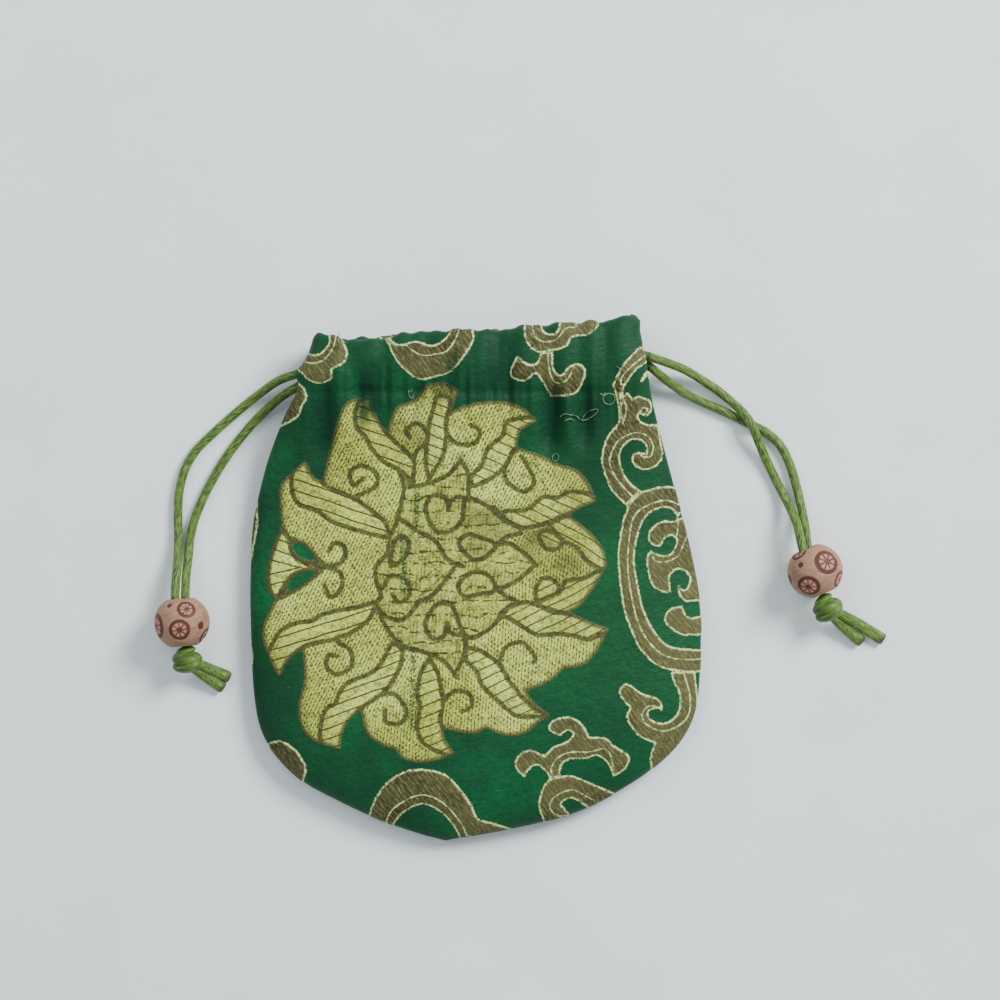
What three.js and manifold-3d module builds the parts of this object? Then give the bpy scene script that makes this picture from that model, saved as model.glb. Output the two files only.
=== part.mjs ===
// A small drawstring purse of green brocade, lying on its back on a table, in millimetres.
// +X is to the right across the purse, +Y towards its mouth and +Z up from the table. The origin is on the
// table, under the middle of the bag. A front and a back panel of cloth meet at a seam round the sides and
// the bottom. Each panel's hem is turned in at the mouth and stitched down, which makes a tunnel. Two satin
// cords run round the mouth inside the tunnels. One comes out of a slit in the left seam and the other out of
// a slit in the right seam, and both ends of each pass through a wooden bead and into a knot with two tails.
import * as THREE from "three";
import Module from "manifold-3d";

// The bag
const BAG_WIDTH = 99.3;
const BAG_LENGTH = 115.2;
const CLOTH = 1.0;
const SEAM_GAP = 0.3;
const BELLY_HEIGHT = 10.4;
const MOUTH_GAP = 6.8;
const MOUTH_SAG = 0.9;
const BACK_FLATNESS = 1.15;

// The drawstring cords and their tunnels
const CORD_WIDTH = 2.0;
const CORD_CLEARANCE = 0.3;
const TUNNEL_CLEARANCE = 0.42;
const TUNNEL = CORD_WIDTH + 2 * TUNNEL_CLEARANCE;
const CASING = 2 * CLOTH + TUNNEL;
const BAG_HEIGHT = 2 * CASING + MOUTH_GAP;
const CORD_SIDES = 8;
const CORD_STEP = 4.2;

// The gathers that the cords draw up
const GATHER_DEPTH = 1.15;
const BACK_GATHER_DEPTH = 0.5;
const GATHER_WIDTH = 2.6;

// The beads and knots
const BEAD_WIDTH = 12.2;
const BEAD_LENGTH = 10.4;
const BEAD_SIDES = 12;
const STRAND_PITCH = CORD_WIDTH + CORD_CLEARANCE;
const BORE_RADIUS = (STRAND_PITCH + CORD_WIDTH) / 2 + CORD_CLEARANCE;
const KNOT_WIDTH = 6.4;
const KNOT_LENGTH = 5.8;
const KNOT_HEIGHT = 5.6;
const KNOT_GAP = 0.3;

// Sections of the bag from the tip of its rounded bottom to its mouth, one row each. The ends of a section on
// the left and right seam are shares of half the width and half the length. seam and crown are heights above
// the table: shares of the belly's height in the first rows, which turn into shares of the mouth's height.
// square is how boxy the section is, and mouth is how far the row has turned from belly to mouth.
const SECTIONS = [
  { left: [-0.134, -1.0], right: [-0.134, -1.0], seam: 0.3, crown: 0.3, square: 2.3, mouth: 0 },
  { left: [-0.275, -0.967], right: [0.047, -0.972], seam: 0.29, crown: 0.47, square: 2.3, mouth: 0 },
  { left: [-0.456, -0.91], right: [0.249, -0.939], seam: 0.28, crown: 0.62, square: 2.3, mouth: 0 },
  { left: [-0.617, -0.845], right: [0.45, -0.891], seam: 0.28, crown: 0.74, square: 2.3, mouth: 0 },
  { left: [-0.768, -0.773], right: [0.621, -0.818], seam: 0.28, crown: 0.83, square: 2.3, mouth: 0 },
  { left: [-0.879, -0.682], right: [0.782, -0.727], seam: 0.28, crown: 0.9, square: 2.3, mouth: 0 },
  { left: [-0.952, -0.578], right: [0.909, -0.62], seam: 0.28, crown: 0.95, square: 2.3, mouth: 0 },
  { left: [-0.984, -0.436], right: [0.98, -0.488], seam: 0.28, crown: 0.985, square: 2.3, mouth: 0 },
  { left: [-0.996, -0.227], right: [1.0, -0.297], seam: 0.28, crown: 1.0, square: 2.3, mouth: 0 },
  { left: [-1.0, 0.0], right: [0.996, -0.089], seam: 0.28, crown: 1.0, square: 2.3, mouth: 0 },
  { left: [-0.984, 0.215], right: [0.952, 0.12], seam: 0.29, crown: 1.0, square: 2.35, mouth: 0 },
  { left: [-0.94, 0.398], right: [0.885, 0.345], seam: 0.34, crown: 0.99, square: 2.5, mouth: 0.12 },
  { left: [-0.875, 0.559], right: [0.817, 0.5625], seam: 0.42, crown: 0.96, square: 2.9, mouth: 0.5 },
  { left: [-0.791, 0.714], right: [0.772, 0.72], seam: 0.48, crown: 0.92, square: 3.6, mouth: 1 },
  { left: [-0.778, 0.783], right: [0.762, 0.814], seam: 0.5, crown: 0.985, square: 4, mouth: 1 },
  { left: [-0.738, 0.849], right: [0.74, 0.891], seam: 0.5, crown: 1.0, square: 4, mouth: 1 },
  { left: [-0.706, 0.932], right: [0.708, 1.006], seam: 0.5, crown: 0.98, square: 4, mouth: 1 },
];
const MOUTH_ROW = SECTIONS.length - 1;
const STITCH_ROW = 13;
const HEM_ROW = 13.15;
const TUNNEL_OPEN_ROW = 13.4;
const TUNNEL_ROWS = [14, 14.5, 15];
const TUNNEL_TOP_ROW = 15.6;
const LIP_ROW = 15.85;
const LIP_PINCH = 0.4;

// Valleys between the gathers. Each runs down from the mouth and fades out. mouth_x and foot_x are shares of
// half the width, foot_y of half the length, width of the usual width, depth of the usual depth and dip, how
// far the mouth's edge sinks there, of the usual sag.
const GATHERS = [
  { mouth_x: -0.68, foot_x: -0.66, foot_y: 0.36, width: 1.1, depth: 0.7, dip: 0.2 },
  { mouth_x: -0.57, foot_x: -0.49, foot_y: 0.42, width: 0.9, depth: 1.0, dip: 1.2 },
  { mouth_x: -0.39, foot_x: -0.43, foot_y: 0.46, width: 0.8, depth: 0.8, dip: 1.3 },
  { mouth_x: -0.2, foot_x: -0.22, foot_y: 0.5, width: 1.0, depth: 0.5, dip: 0 },
  { mouth_x: 0.0, foot_x: -0.05, foot_y: 0.5, width: 0.9, depth: 0.5, dip: 0.2 },
  { mouth_x: 0.12, foot_x: 0.13, foot_y: 0.4, width: 1.1, depth: 1.0, dip: 0.5 },
  { mouth_x: 0.3, foot_x: 0.35, foot_y: 0.25, width: 1.0, depth: 0.9, dip: 0.3 },
  { mouth_x: 0.46, foot_x: 0.45, foot_y: 0.4, width: 0.8, depth: 0.7, dip: 0.6 },
  { mouth_x: 0.57, foot_x: 0.6, foot_y: 0.5, width: 0.8, depth: 0.6, dip: 0.7 },
];

// Slits in the side seams, as stretches of rows, and how far in from the seam each is cut
const SLITS = { left: [12.75, TUNNEL_ROWS[1]], right: [TUNNEL_OPEN_ROW, TUNNEL_ROWS[2]] };
const SLIT_EDGE = 0.965;
const FACING_EDGE = 0.8;

// Free strands, from the slit to near the bead: x and y are measured from the slit's own place on the seam,
// and z from the table. These routes are chosen by eye.
const STRANDS = {
  left_cord_upper: {
    row: 14.05,
    points: [[-0.1, 0.0, 7.7], [-4.8, -1.6, 5.2], [-9.8, -4.9, 2.4], [-14.8, -8.9, 1.2], [-19.8, -13.4, 1.05],
      [-23.1, -16.7, 1.05], [-25.5, -20.7, 1.05], [-26.9, -25.7, 1.05], [-27.2, -30.7, 1.1],
      [-27.1, -35.3, 1.4], [-27.1, -39.3, 2.4], [-27.2, -43.2, 4.2]],
  },
  left_cord_lower: {
    row: 13.3,
    points: [[0.4, 0.0, 6.9], [-3.0, -1.9, 4.7], [-6.9, -4.9, 2.3], [-10.9, -8.9, 1.2], [-14.9, -13.9, 1.05],
      [-17.9, -18.4, 1.05], [-20.9, -23.9, 1.05], [-23.2, -29.4, 1.1], [-24.2, -33.8, 1.4],
      [-24.5, -37.8, 2.4], [-24.8, -41.6, 4.2]],
  },
  right_cord_upper: {
    row: 14.5,
    points: [[0.4, 0.0, 8.3], [4.9, -1.4, 5.7], [8.9, -2.9, 3.3], [12.9, -5.2, 1.9], [16.9, -7.9, 1.5],
      [19.9, -10.5, 2.0], [22.2, -12.9, 2.9], [23.8, -15.5, 3.45], [25.2, -18.9, 2.6], [27.0, -22.9, 1.4],
      [29.6, -28.2, 1.2], [31.9, -33.0, 3.0], [33.3, -36.7, 5.6]],
  },
  right_cord_lower: {
    row: 14.08,
    points: [[0.5, -0.4, 6.3], [4.2, -3.3, 4.0], [7.7, -5.7, 2.0], [12.2, -8.0, 1.1], [17.2, -10.2, 1.05],
      [21.2, -12.2, 1.05], [23.8, -13.4, 1.05], [26.7, -15.0, 1.05], [29.6, -17.7, 1.05], [31.7, -21.9, 1.1],
      [33.2, -26.9, 1.3], [34.3, -32.2, 2.6], [34.9, -36.2, 4.5]],
  },
};

// Bead centres in the plan, from the middle of the bag, the way each bore points along the table and how far
// the pair of strands in it is turned from lying side by side
const BEADS = {
  left: { centre: [-64.45, -9.4], heading: -85.5, stack: 0 },
  right: { centre: [74.65, 1.9], heading: -66.5, stack: 55 },
};

// Tails, from beside the knot's middle to their cut ends: x and y from the knot's middle, z from the table
const TAILS = {
  left_tail_long: { knot: "left", points: [[3.3, -1.2, 4.1], [6.0, -2.6, 2.5], [8.9, -3.9, 1.15]] },
  left_tail_short: { knot: "left", points: [[2.1, -3.3, 3.9], [4.5, -4.9, 2.4], [7.1, -6.6, 1.15]] },
  right_tail_long: {
    knot: "right",
    points: [[3.2, -1.5, 4.1], [6.1, -3.4, 2.6], [9.5, -5.6, 1.3], [12.2, -7.3, 1.1]],
  },
  right_tail_short: { knot: "right", points: [[1.8, -3.4, 3.9], [4.5, -5.9, 2.4], [7.3, -8.1, 1.15]] },
};

// Rows that the cords follow inside the tunnels, at the left and right ends of the front and back tunnel
const RUNS = {
  left_cord_in_casing: { slit: "left", front: [13.9, 13.85], back: [13.75, 13.85] },
  right_cord_in_casing: { slit: "right", front: [15.05, 14.8], back: [15.1, 14.95] },
};

const COLOURS = {
  cloth: { color: 0x1c6138, roughness: 0.62, metalness: 0.0 },
  cord: { color: 0x6f9a3c, roughness: 0.5, metalness: 0.0 },
  wood: { color: 0xb98c74, roughness: 0.45, metalness: 0.0 },
};

const wasm = await Module();
wasm.setup();

const mix = (a, b, share) => a + (b - a) * share;
const clamped = (value, low, high) => Math.min(high, Math.max(low, value));

function smooth(low, high, value) {
  const share = clamped((value - low) / (high - low), 0, 1);
  return share * share * (3 - 2 * share);
}

function curveThrough(points) {
  return new THREE.CatmullRomCurve3(points.map((p) => new THREE.Vector3(...p)), false, "catmullrom", 0.5);
}

// Seam curves in the plan, and the heights and boxiness of the sections between them
const onPlan = ([x, y]) => [(x * BAG_WIDTH) / 2, (y * BAG_LENGTH) / 2, 0];
const leftSeam = curveThrough(SECTIONS.map((s) => onPlan(s.left)));
const rightSeam = curveThrough(SECTIONS.map((s) => onPlan(s.right)));
const rowHeight = (s) => mix(BELLY_HEIGHT, BAG_HEIGHT, s.mouth);
const heights = curveThrough(SECTIONS.map((s) => [s.seam * rowHeight(s), s.crown * rowHeight(s), s.square]));

function sectionAt(row) {
  const along = row / MOUTH_ROW;
  const form = heights.getPoint(along);
  return {
    left: leftSeam.getPoint(along),
    right: rightSeam.getPoint(along),
    seam: form.x,
    crown: Math.max(form.x, form.y),
    square: form.z,
  };
}

// How strong a gather is at a distance from its middle. The back's gathers mirror the front's.
function gatherShape(gather, distance) {
  return Math.exp(-((distance / (gather.width * GATHER_WIDTH)) ** 2));
}

// A point of the bag's outer skin without its gathers. across is -1 at the left seam and 1 at the right.
function skin(side, across, row) {
  const s = sectionAt(row);
  const point = s.left.clone().lerp(s.right, (across + 1) / 2);
  const turned = side === "front" ? point.x : -point.x;
  const dips = GATHERS.map((g) => g.dip * gatherShape(g, turned - (g.mouth_x * BAG_WIDTH) / 2));
  const sag = dips.reduce((sum, dip) => sum + dip, 1 - across ** 2);
  point.y -= MOUTH_SAG * sag * smooth(STITCH_ROW, MOUTH_ROW, row);
  const bulge = Math.max(0, 1 - Math.abs(across) ** s.square) ** (1 / s.square);
  if (side === "front") point.z = s.seam + (s.crown - s.seam) * bulge;
  else point.z = Math.max(0, s.seam * (1 - BACK_FLATNESS * bulge));
  return point;
}

function outwards(side, across, row) {
  if (row === 0) return new THREE.Vector3(0, -1, 0);
  const step = 0.002;
  const [a0, a1] = [Math.max(-1, across - step), Math.min(1, across + step)];
  const [r0, r1] = [Math.max(0, row - step), Math.min(MOUTH_ROW, row + step)];
  const alongX = skin(side, a1, row).sub(skin(side, a0, row));
  const alongY = skin(side, across, r1).sub(skin(side, across, r0));
  const normal = alongX.cross(alongY).multiplyScalar(side === "front" ? 1 : -1);
  if (Math.abs(across) === 1) normal.z = 0;
  return normal.normalize();
}

// How far the gathers draw the cloth in at a place, fading out below and at the side seams
function gatherAt(side, across, x, y) {
  let depth = 0;
  for (const g of GATHERS) {
    const foot = (g.foot_y * BAG_LENGTH) / 2;
    const rise = smooth(foot, (0.78 * BAG_LENGTH) / 2, y);
    const climb = clamped((y - foot) / (BAG_LENGTH / 2 - foot), 0, 1);
    const middle = (mix(g.foot_x, g.mouth_x, climb) * BAG_WIDTH) / 2;
    depth += g.depth * rise * gatherShape(g, (side === "front" ? x : -x) - middle);
  }
  const usual = side === "front" ? GATHER_DEPTH : BACK_GATHER_DEPTH;
  return usual * depth * (1 - Math.abs(across) ** 6);
}

// A point of the bag that lies depth millimetres under its outer skin
function inBag(side, across, row, depth) {
  const point = skin(side, across, row).addScaledVector(outwards(side, across, row), -depth);
  const draw = gatherAt(side, across, point.x, point.y);
  point.z += side === "front" ? -draw : draw;
  if (Math.abs(across) === 1) point.z += side === "front" ? SEAM_GAP / 2 : -SEAM_GAP / 2;
  return point;
}

// Depths of the layers under the skin: outer cloth, tunnel and the turned-in hem, pinched together at the
// stitches and rounded over at the mouth
function layerDepths(row) {
  const open = smooth(STITCH_ROW, TUNNEL_OPEN_ROW, row);
  const tunnel = CORD_CLEARANCE / 2 + (TUNNEL - CORD_CLEARANCE / 2) * open;
  const depths = [0, CLOTH, CLOTH + tunnel, 2 * CLOTH + tunnel];
  const lip = clamped((row - TUNNEL_TOP_ROW) / (MOUTH_ROW - TUNNEL_TOP_ROW), 0, 1);
  const squeeze = mix(LIP_PINCH, 1, Math.sqrt(1 - lip ** 2));
  return depths.map((d) => CASING / 2 + (d - CASING / 2) * squeeze);
}

// Whether the cell of the panel between these lines holds cloth
function holdsCloth(across, row, layer) {
  const [from, to] = across < 0 ? SLITS.left : SLITS.right;
  if (layer === 0) return !(Math.abs(across) > SLIT_EDGE && row > from && row < to);
  if (Math.abs(across) > FACING_EDGE || row < STITCH_ROW) return false;
  return layer === 2 || row < HEM_ROW || row > TUNNEL_TOP_ROW;
}

// One panel as the boundary of its filled cells on a grid of lines across, rows and layers
function panelGeometry(side, lines, rows) {
  const positions = [];
  const index = [];
  const numbers = new Map();
  const corner = (i, j, k) => {
    const key = j === 0 ? `tip ${k}` : `${i} ${j} ${k}`;
    if (!numbers.has(key)) {
      numbers.set(key, numbers.size);
      const depth = rows[j] > STITCH_ROW ? layerDepths(rows[j])[k] : layerDepths(STITCH_ROW)[k];
      positions.push(...inBag(side, lines[i], rows[j], depth).toArray());
    }
    return numbers.get(key);
  };
  const middle = (list, n) => (list[n] + list[n + 1]) / 2;
  const filled = (i, j, k) =>
    i >= 0 && j >= 0 && k >= 0 && i < lines.length - 1 && j < rows.length - 1 && k < 3 &&
    holdsCloth(middle(lines, i), middle(rows, j), k);
  const face = (a, b, c, d, turned) => {
    for (const [p, q, r] of [[a, b, c], [a, c, d]]) {
      if (p !== q && q !== r && r !== p) index.push(...(turned ? [p, r, q] : [p, q, r]));
    }
  };
  const front = side === "front";
  for (let i = 0; i < lines.length - 1; i++) {
    for (let j = 0; j < rows.length - 1; j++) {
      for (let k = 0; k < 3; k++) {
        if (!filled(i, j, k)) continue;
        for (const far of [0, 1]) {
          const turned = (far === 1) !== front;
          if (!filled(i + 2 * far - 1, j, k)) {
            const n = i + far;
            face(corner(n, j, k), corner(n, j, k + 1), corner(n, j + 1, k + 1), corner(n, j + 1, k), turned);
          }
          if (!filled(i, j + 2 * far - 1, k)) {
            const n = j + far;
            face(corner(i, n, k), corner(i + 1, n, k), corner(i + 1, n, k + 1), corner(i, n, k + 1), turned);
          }
          if (!filled(i, j, k + 2 * far - 1)) {
            const n = k + far;
            face(corner(i, j, n), corner(i, j + 1, n), corner(i + 1, j + 1, n), corner(i + 1, j, n), turned);
          }
        }
      }
    }
  }
  const geometry = new THREE.BufferGeometry();
  geometry.setAttribute("position", new THREE.Float32BufferAttribute(positions, 3));
  geometry.setIndex(index);
  return geometry;
}

// Grid lines: even across the bag, with lines where the hem ends and where the slits are cut
function linesAcross(count) {
  const half = [];
  for (let n = 1; n <= count; n++) half.push((FACING_EDGE * n) / count);
  half.push(mix(FACING_EDGE, 1, 0.32), mix(FACING_EDGE, 1, 0.62), SLIT_EDGE, 1);
  return [...half.map((a) => -a).reverse(), 0, ...half];
}

function rowLines(step) {
  const rows = [];
  for (let row = 0; row < SLITS.left[0]; row += step) rows.push(row);
  const casing = [SLITS.left[0], STITCH_ROW, HEM_ROW, TUNNEL_OPEN_ROW, ...TUNNEL_ROWS, TUNNEL_TOP_ROW, LIP_ROW];
  return [...rows, ...casing, MOUTH_ROW];
}

// A round cord along a smooth curve through points
function cordGeometry(points) {
  const path = curveThrough(points);
  const section = new THREE.Shape();
  for (let n = 0; n < CORD_SIDES; n++) {
    const angle = (2 * Math.PI * n) / CORD_SIDES;
    const [x, y] = [(Math.cos(angle) * CORD_WIDTH) / 2, (Math.sin(angle) * CORD_WIDTH) / 2];
    if (n) section.lineTo(x, y);
    else section.moveTo(x, y);
  }
  const steps = Math.max(3, Math.round(path.getLength() / CORD_STEP));
  return new THREE.ExtrudeGeometry(section, { steps, bevelEnabled: false, extrudePath: path });
}

// Where a bead sits, the direction of its bore and the offset of each strand in the bore
function beadAt(name) {
  const { centre, heading, stack } = BEADS[name];
  const turn = THREE.MathUtils.degToRad(heading);
  const tilt = THREE.MathUtils.degToRad(stack);
  const along = new THREE.Vector3(Math.cos(turn), Math.sin(turn), 0);
  const beside = new THREE.Vector3(Math.sin(turn), -Math.cos(turn), 0);
  const apart = beside.multiplyScalar(Math.cos(tilt)).setZ(Math.sin(tilt)).multiplyScalar(STRAND_PITCH / 2);
  return { middle: new THREE.Vector3(...centre, BEAD_WIDTH / 2), along, apart };
}

function beadGeometry() {
  const outline = [];
  const end = Math.asin((2 * (BORE_RADIUS + 0.5)) / BEAD_WIDTH);
  const bands = 10;
  for (let n = 0; n <= bands; n++) {
    const angle = mix(end, Math.PI - end, n / bands);
    const level = (-Math.cos(angle) / Math.cos(end)) * (BEAD_LENGTH / 2);
    outline.push(new THREE.Vector2((Math.sin(angle) * BEAD_WIDTH) / 2, level));
  }
  outline.push(new THREE.Vector2(BORE_RADIUS, BEAD_LENGTH / 2));
  outline.push(new THREE.Vector2(BORE_RADIUS, -BEAD_LENGTH / 2));
  return new THREE.LatheGeometry([...outline, outline[0].clone()], BEAD_SIDES);
}

// A closed mesh's geometry as a manifold-3d solid, moved into place, and back
function solidOf(geometry, matrix) {
  const bare = geometry.clone().applyMatrix4(matrix);
  const corners = [];
  const numbers = new Map();
  const triangles = [];
  const position = bare.getAttribute("position");
  const order = bare.index ? [...bare.index.array] : [...Array(position.count).keys()];
  for (const n of order) {
    const exact = [position.getX(n), position.getY(n), position.getZ(n)];
    const point = exact.map((v) => Math.round(v * 1e4) / 1e4);
    const key = point.join();
    if (!numbers.has(key)) {
      numbers.set(key, numbers.size);
      corners.push(...point);
    }
    triangles.push(numbers.get(key));
  }
  const kept = [];
  for (let n = 0; n < triangles.length; n += 3) {
    const [a, b, c] = triangles.slice(n, n + 3);
    if (a !== b && b !== c && c !== a) kept.push(a, b, c);
  }
  return new wasm.Manifold(
    new wasm.Mesh({ numProp: 3, vertProperties: new Float32Array(corners), triVerts: new Uint32Array(kept) }),
  );
}

function geometryOf(solid) {
  const { vertProperties, triVerts } = solid.getMesh();
  const geometry = new THREE.BufferGeometry();
  geometry.setAttribute("position", new THREE.Float32BufferAttribute(vertProperties, 3));
  geometry.setIndex([...triVerts]);
  return geometry;
}

// An overhand knot drawn tight: a core with two turns of cord round it, its length along +Y
function knotGeometry() {
  const core = new THREE.SphereGeometry(0.5, 10, 6);
  const coreSize = new THREE.Matrix4().makeScale(KNOT_WIDTH * 0.86, KNOT_LENGTH, KNOT_HEIGHT * 0.86);
  let knot = solidOf(core, coreSize);
  for (const [lean, shift] of [[24, 0.14], [-28, -0.16]]) {
    const wrap = new THREE.TorusGeometry(KNOT_WIDTH / 2 - CORD_WIDTH * 0.6, CORD_WIDTH * 0.6, 6, 12);
    const place = new THREE.Matrix4()
      .makeTranslation(0, shift * KNOT_LENGTH, 0)
      .multiply(new THREE.Matrix4().makeScale(1, 1, KNOT_HEIGHT / KNOT_WIDTH))
      .multiply(new THREE.Matrix4().makeRotationZ(THREE.MathUtils.degToRad(lean)))
      .multiply(new THREE.Matrix4().makeRotationX(Math.PI / 2));
    knot = knot.add(solidOf(wrap, place));
  }
  return geometryOf(knot);
}

function knotMiddle(name) {
  const { middle, along } = beadAt(name);
  const place = middle.addScaledVector(along, BEAD_LENGTH / 2 + KNOT_GAP + KNOT_LENGTH / 2);
  return place.setZ(BEAD_WIDTH / 2 - 0.6);
}

function strandPoints(name) {
  const side = name.startsWith("left") ? "left" : "right";
  const { row, points } = STRANDS[name];
  const section = sectionAt(row);
  const slit = section[side];
  const { middle, along, apart } = beadAt(side);
  const upper = name.endsWith("upper") ? 1 : -1;
  const offset = apart.multiplyScalar(upper);
  const inBore = [-0.5, 0, 0.5].map((share) =>
    middle.clone().addScaledVector(along, share * BEAD_LENGTH).add(offset).toArray(),
  );
  return [...points.map(([x, y, z]) => [slit.x + x, slit.y + y, z]), ...inBore];
}

// The stretch of a cord that the tunnels hide: in at a slit, along the front tunnel, round the far side and
// back along the back tunnel to the slit
function runPoints(name) {
  const { slit, front, back } = RUNS[name];
  const sign = slit === "left" ? 1 : -1;
  const depth = CLOTH + TUNNEL / 2;
  const reach = FACING_EDGE + 0.03;
  const inTunnel = (side, [left, right], across) => {
    return inBag(side, across, mix(left, right, (across + 1) / 2), depth).toArray();
  };
  const stops = 22;
  const course = [...Array(stops + 1).keys()].map((n) => mix(-sign * reach, sign * reach, n / stops));
  const outward = course.map((across) => inTunnel("front", front, across));
  const homeward = [...course].reverse().map((across) => inTunnel("back", back, across));

  const farRow = slit === "left" ? front[1] : front[0];
  const far = sectionAt(farRow);
  const wall = (slit === "left" ? far.right : far.left).x;
  const apex = wall - sign * (CLOTH + 2 * CORD_CLEARANCE + CORD_WIDTH / 2);
  const [top, bottom] = [outward.at(-1), homeward[0]];
  const turn = (drop, reachOut) => {
    return [mix(top[0], apex, reachOut), mix(top[1], bottom[1], drop), mix(top[2], bottom[2], drop)];
  };
  const round = [turn(0.13, 0.68), turn(0.5, 1), turn(0.87, 0.68)];

  const [start, finish] = ["upper", "lower"].map((strand) => {
    const [first, second] = strandPoints(`${slit}_cord_${strand}`).map((p) => new THREE.Vector3(...p));
    const back = first.clone().sub(second).normalize();
    const inside = [CORD_CLEARANCE, CORD_CLEARANCE + CORD_WIDTH / 2];
    return inside.map((far) => first.clone().addScaledVector(back, far).toArray());
  });
  return [...start, ...outward, ...round, ...homeward, ...finish.reverse()];
}

const purse = new THREE.Group();

function addPiece(name, geometry, finish, parent = purse) {
  geometry.computeVertexNormals();
  const mesh = new THREE.Mesh(geometry, new THREE.MeshStandardMaterial(COLOURS[finish]));
  mesh.name = name;
  parent.add(mesh);
  return mesh;
}

addPiece("front_panel", panelGeometry("front", linesAcross(10), rowLines(0.6)), "cloth");
addPiece("back_panel", panelGeometry("back", linesAcross(9), rowLines(1)), "cloth");
for (const name of Object.keys(RUNS)) addPiece(name, cordGeometry(runPoints(name)), "cord");
for (const name of Object.keys(STRANDS)) addPiece(name, cordGeometry(strandPoints(name)), "cord");

for (const side of Object.keys(BEADS)) {
  const turn = THREE.MathUtils.degToRad(BEADS[side].heading + 90);
  const bead = addPiece(`${side}_bead`, beadGeometry(), "wood");
  bead.position.copy(beadAt(side).middle);
  bead.rotation.z = turn;
  const knot = addPiece(`${side}_knot`, knotGeometry(), "cord");
  knot.position.copy(knotMiddle(side));
  knot.rotation.z = turn;
}

for (const [name, { knot, points }] of Object.entries(TAILS)) {
  const { x, y } = knotMiddle(knot);
  addPiece(name, cordGeometry(points.map((p) => [x + p[0], y + p[1], p[2]])), "cord");
}

export default purse;
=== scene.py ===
# A drawstring purse of green brocade on a pale table, seen from straight above.
# It is drawn in the CAD model's frame. Lengths here are in millimetres until a mesh is made.
import math

import bmesh
import bpy
import numpy as np
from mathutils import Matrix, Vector


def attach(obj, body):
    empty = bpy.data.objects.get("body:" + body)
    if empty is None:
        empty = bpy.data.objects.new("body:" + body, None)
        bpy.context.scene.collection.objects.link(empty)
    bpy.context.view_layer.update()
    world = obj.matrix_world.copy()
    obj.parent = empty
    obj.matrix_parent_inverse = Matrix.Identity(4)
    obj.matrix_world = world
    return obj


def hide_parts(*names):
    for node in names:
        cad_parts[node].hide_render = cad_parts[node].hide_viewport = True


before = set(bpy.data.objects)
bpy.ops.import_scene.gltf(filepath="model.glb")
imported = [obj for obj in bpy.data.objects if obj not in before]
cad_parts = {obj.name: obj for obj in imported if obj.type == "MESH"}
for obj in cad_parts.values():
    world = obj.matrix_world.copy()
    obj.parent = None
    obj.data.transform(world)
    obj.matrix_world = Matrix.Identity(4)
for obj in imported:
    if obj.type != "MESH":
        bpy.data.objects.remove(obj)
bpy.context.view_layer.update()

MM = 0.001

# The bag, as in the CAD model
BAG_WIDTH = 99.3
BAG_LENGTH = 115.2
CLOTH = 1.0
SEAM_GAP = 0.3
BELLY_HEIGHT = 10.4
MOUTH_GAP = 6.8
MOUTH_SAG = 0.9
BACK_FLATNESS = 1.15
CORD_WIDTH = 2.0
CORD_CLEARANCE = 0.3
TUNNEL = CORD_WIDTH + 2 * 0.42
CASING = 2 * CLOTH + TUNNEL
BAG_HEIGHT = 2 * CASING + MOUTH_GAP
GATHER_DEPTH = {"front": 1.15, "back": 0.5}
GATHER_WIDTH = 2.6
GATHER_TOP = 0.78
FACING = {"front": 1, "back": -1}
MOUTH_ROW = 16
STITCH_ROW = 13
TUNNEL_OPEN_ROW = 13.4
TUNNEL_TOP_ROW = 15.6
SLITS = {-1: (12.75, 14.5), 1: (13.4, 15)}
FACING_EDGE = 0.8
BEAD_WIDTH = 12.2
BEAD_LENGTH = 10.4
STRAND_PITCH = CORD_WIDTH + CORD_CLEARANCE
BORE_RADIUS = (STRAND_PITCH + CORD_WIDTH) / 2 + CORD_CLEARANCE
KNOT_WIDTH = 6.4
KNOT_LENGTH = 5.8
KNOT_GAP = 0.3

# What only the dressed purse has. The table presses the back's raised threads flat at REST_HEIGHT.
REST_HEIGHT = 0.02
SLIT_OPENING = 0.993
BACK_SHRINK = 0.997
PUFF = 0.25
PUCKER = 0.22
PUCKER_REACH = 5.0
SEAM_DRAW = 0.35
SEAM_REACH = 1.0
STITCH_LEVEL = 41.0
CASING_SLACK = 0.6
WEAVE_STEP = {"front": 0.52, "back": 0.9}
SEAM_BAND = 0.96
SEAM_STEPS = 8
LIP_STEPS = 8
FACING_STEPS = 13
LOTUS_EDGE = -0.35
THREAD_RADIUS = 0.09
CLOTH_THICKNESS = 0.75
CHART_REACH = 2.6
VIEW_CENTRE = (5.41, 17.49)
VIEW_WIDTH = 220.0
VIEW_HEIGHT = 800.0
VIEW_LEVEL = 5.0

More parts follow.
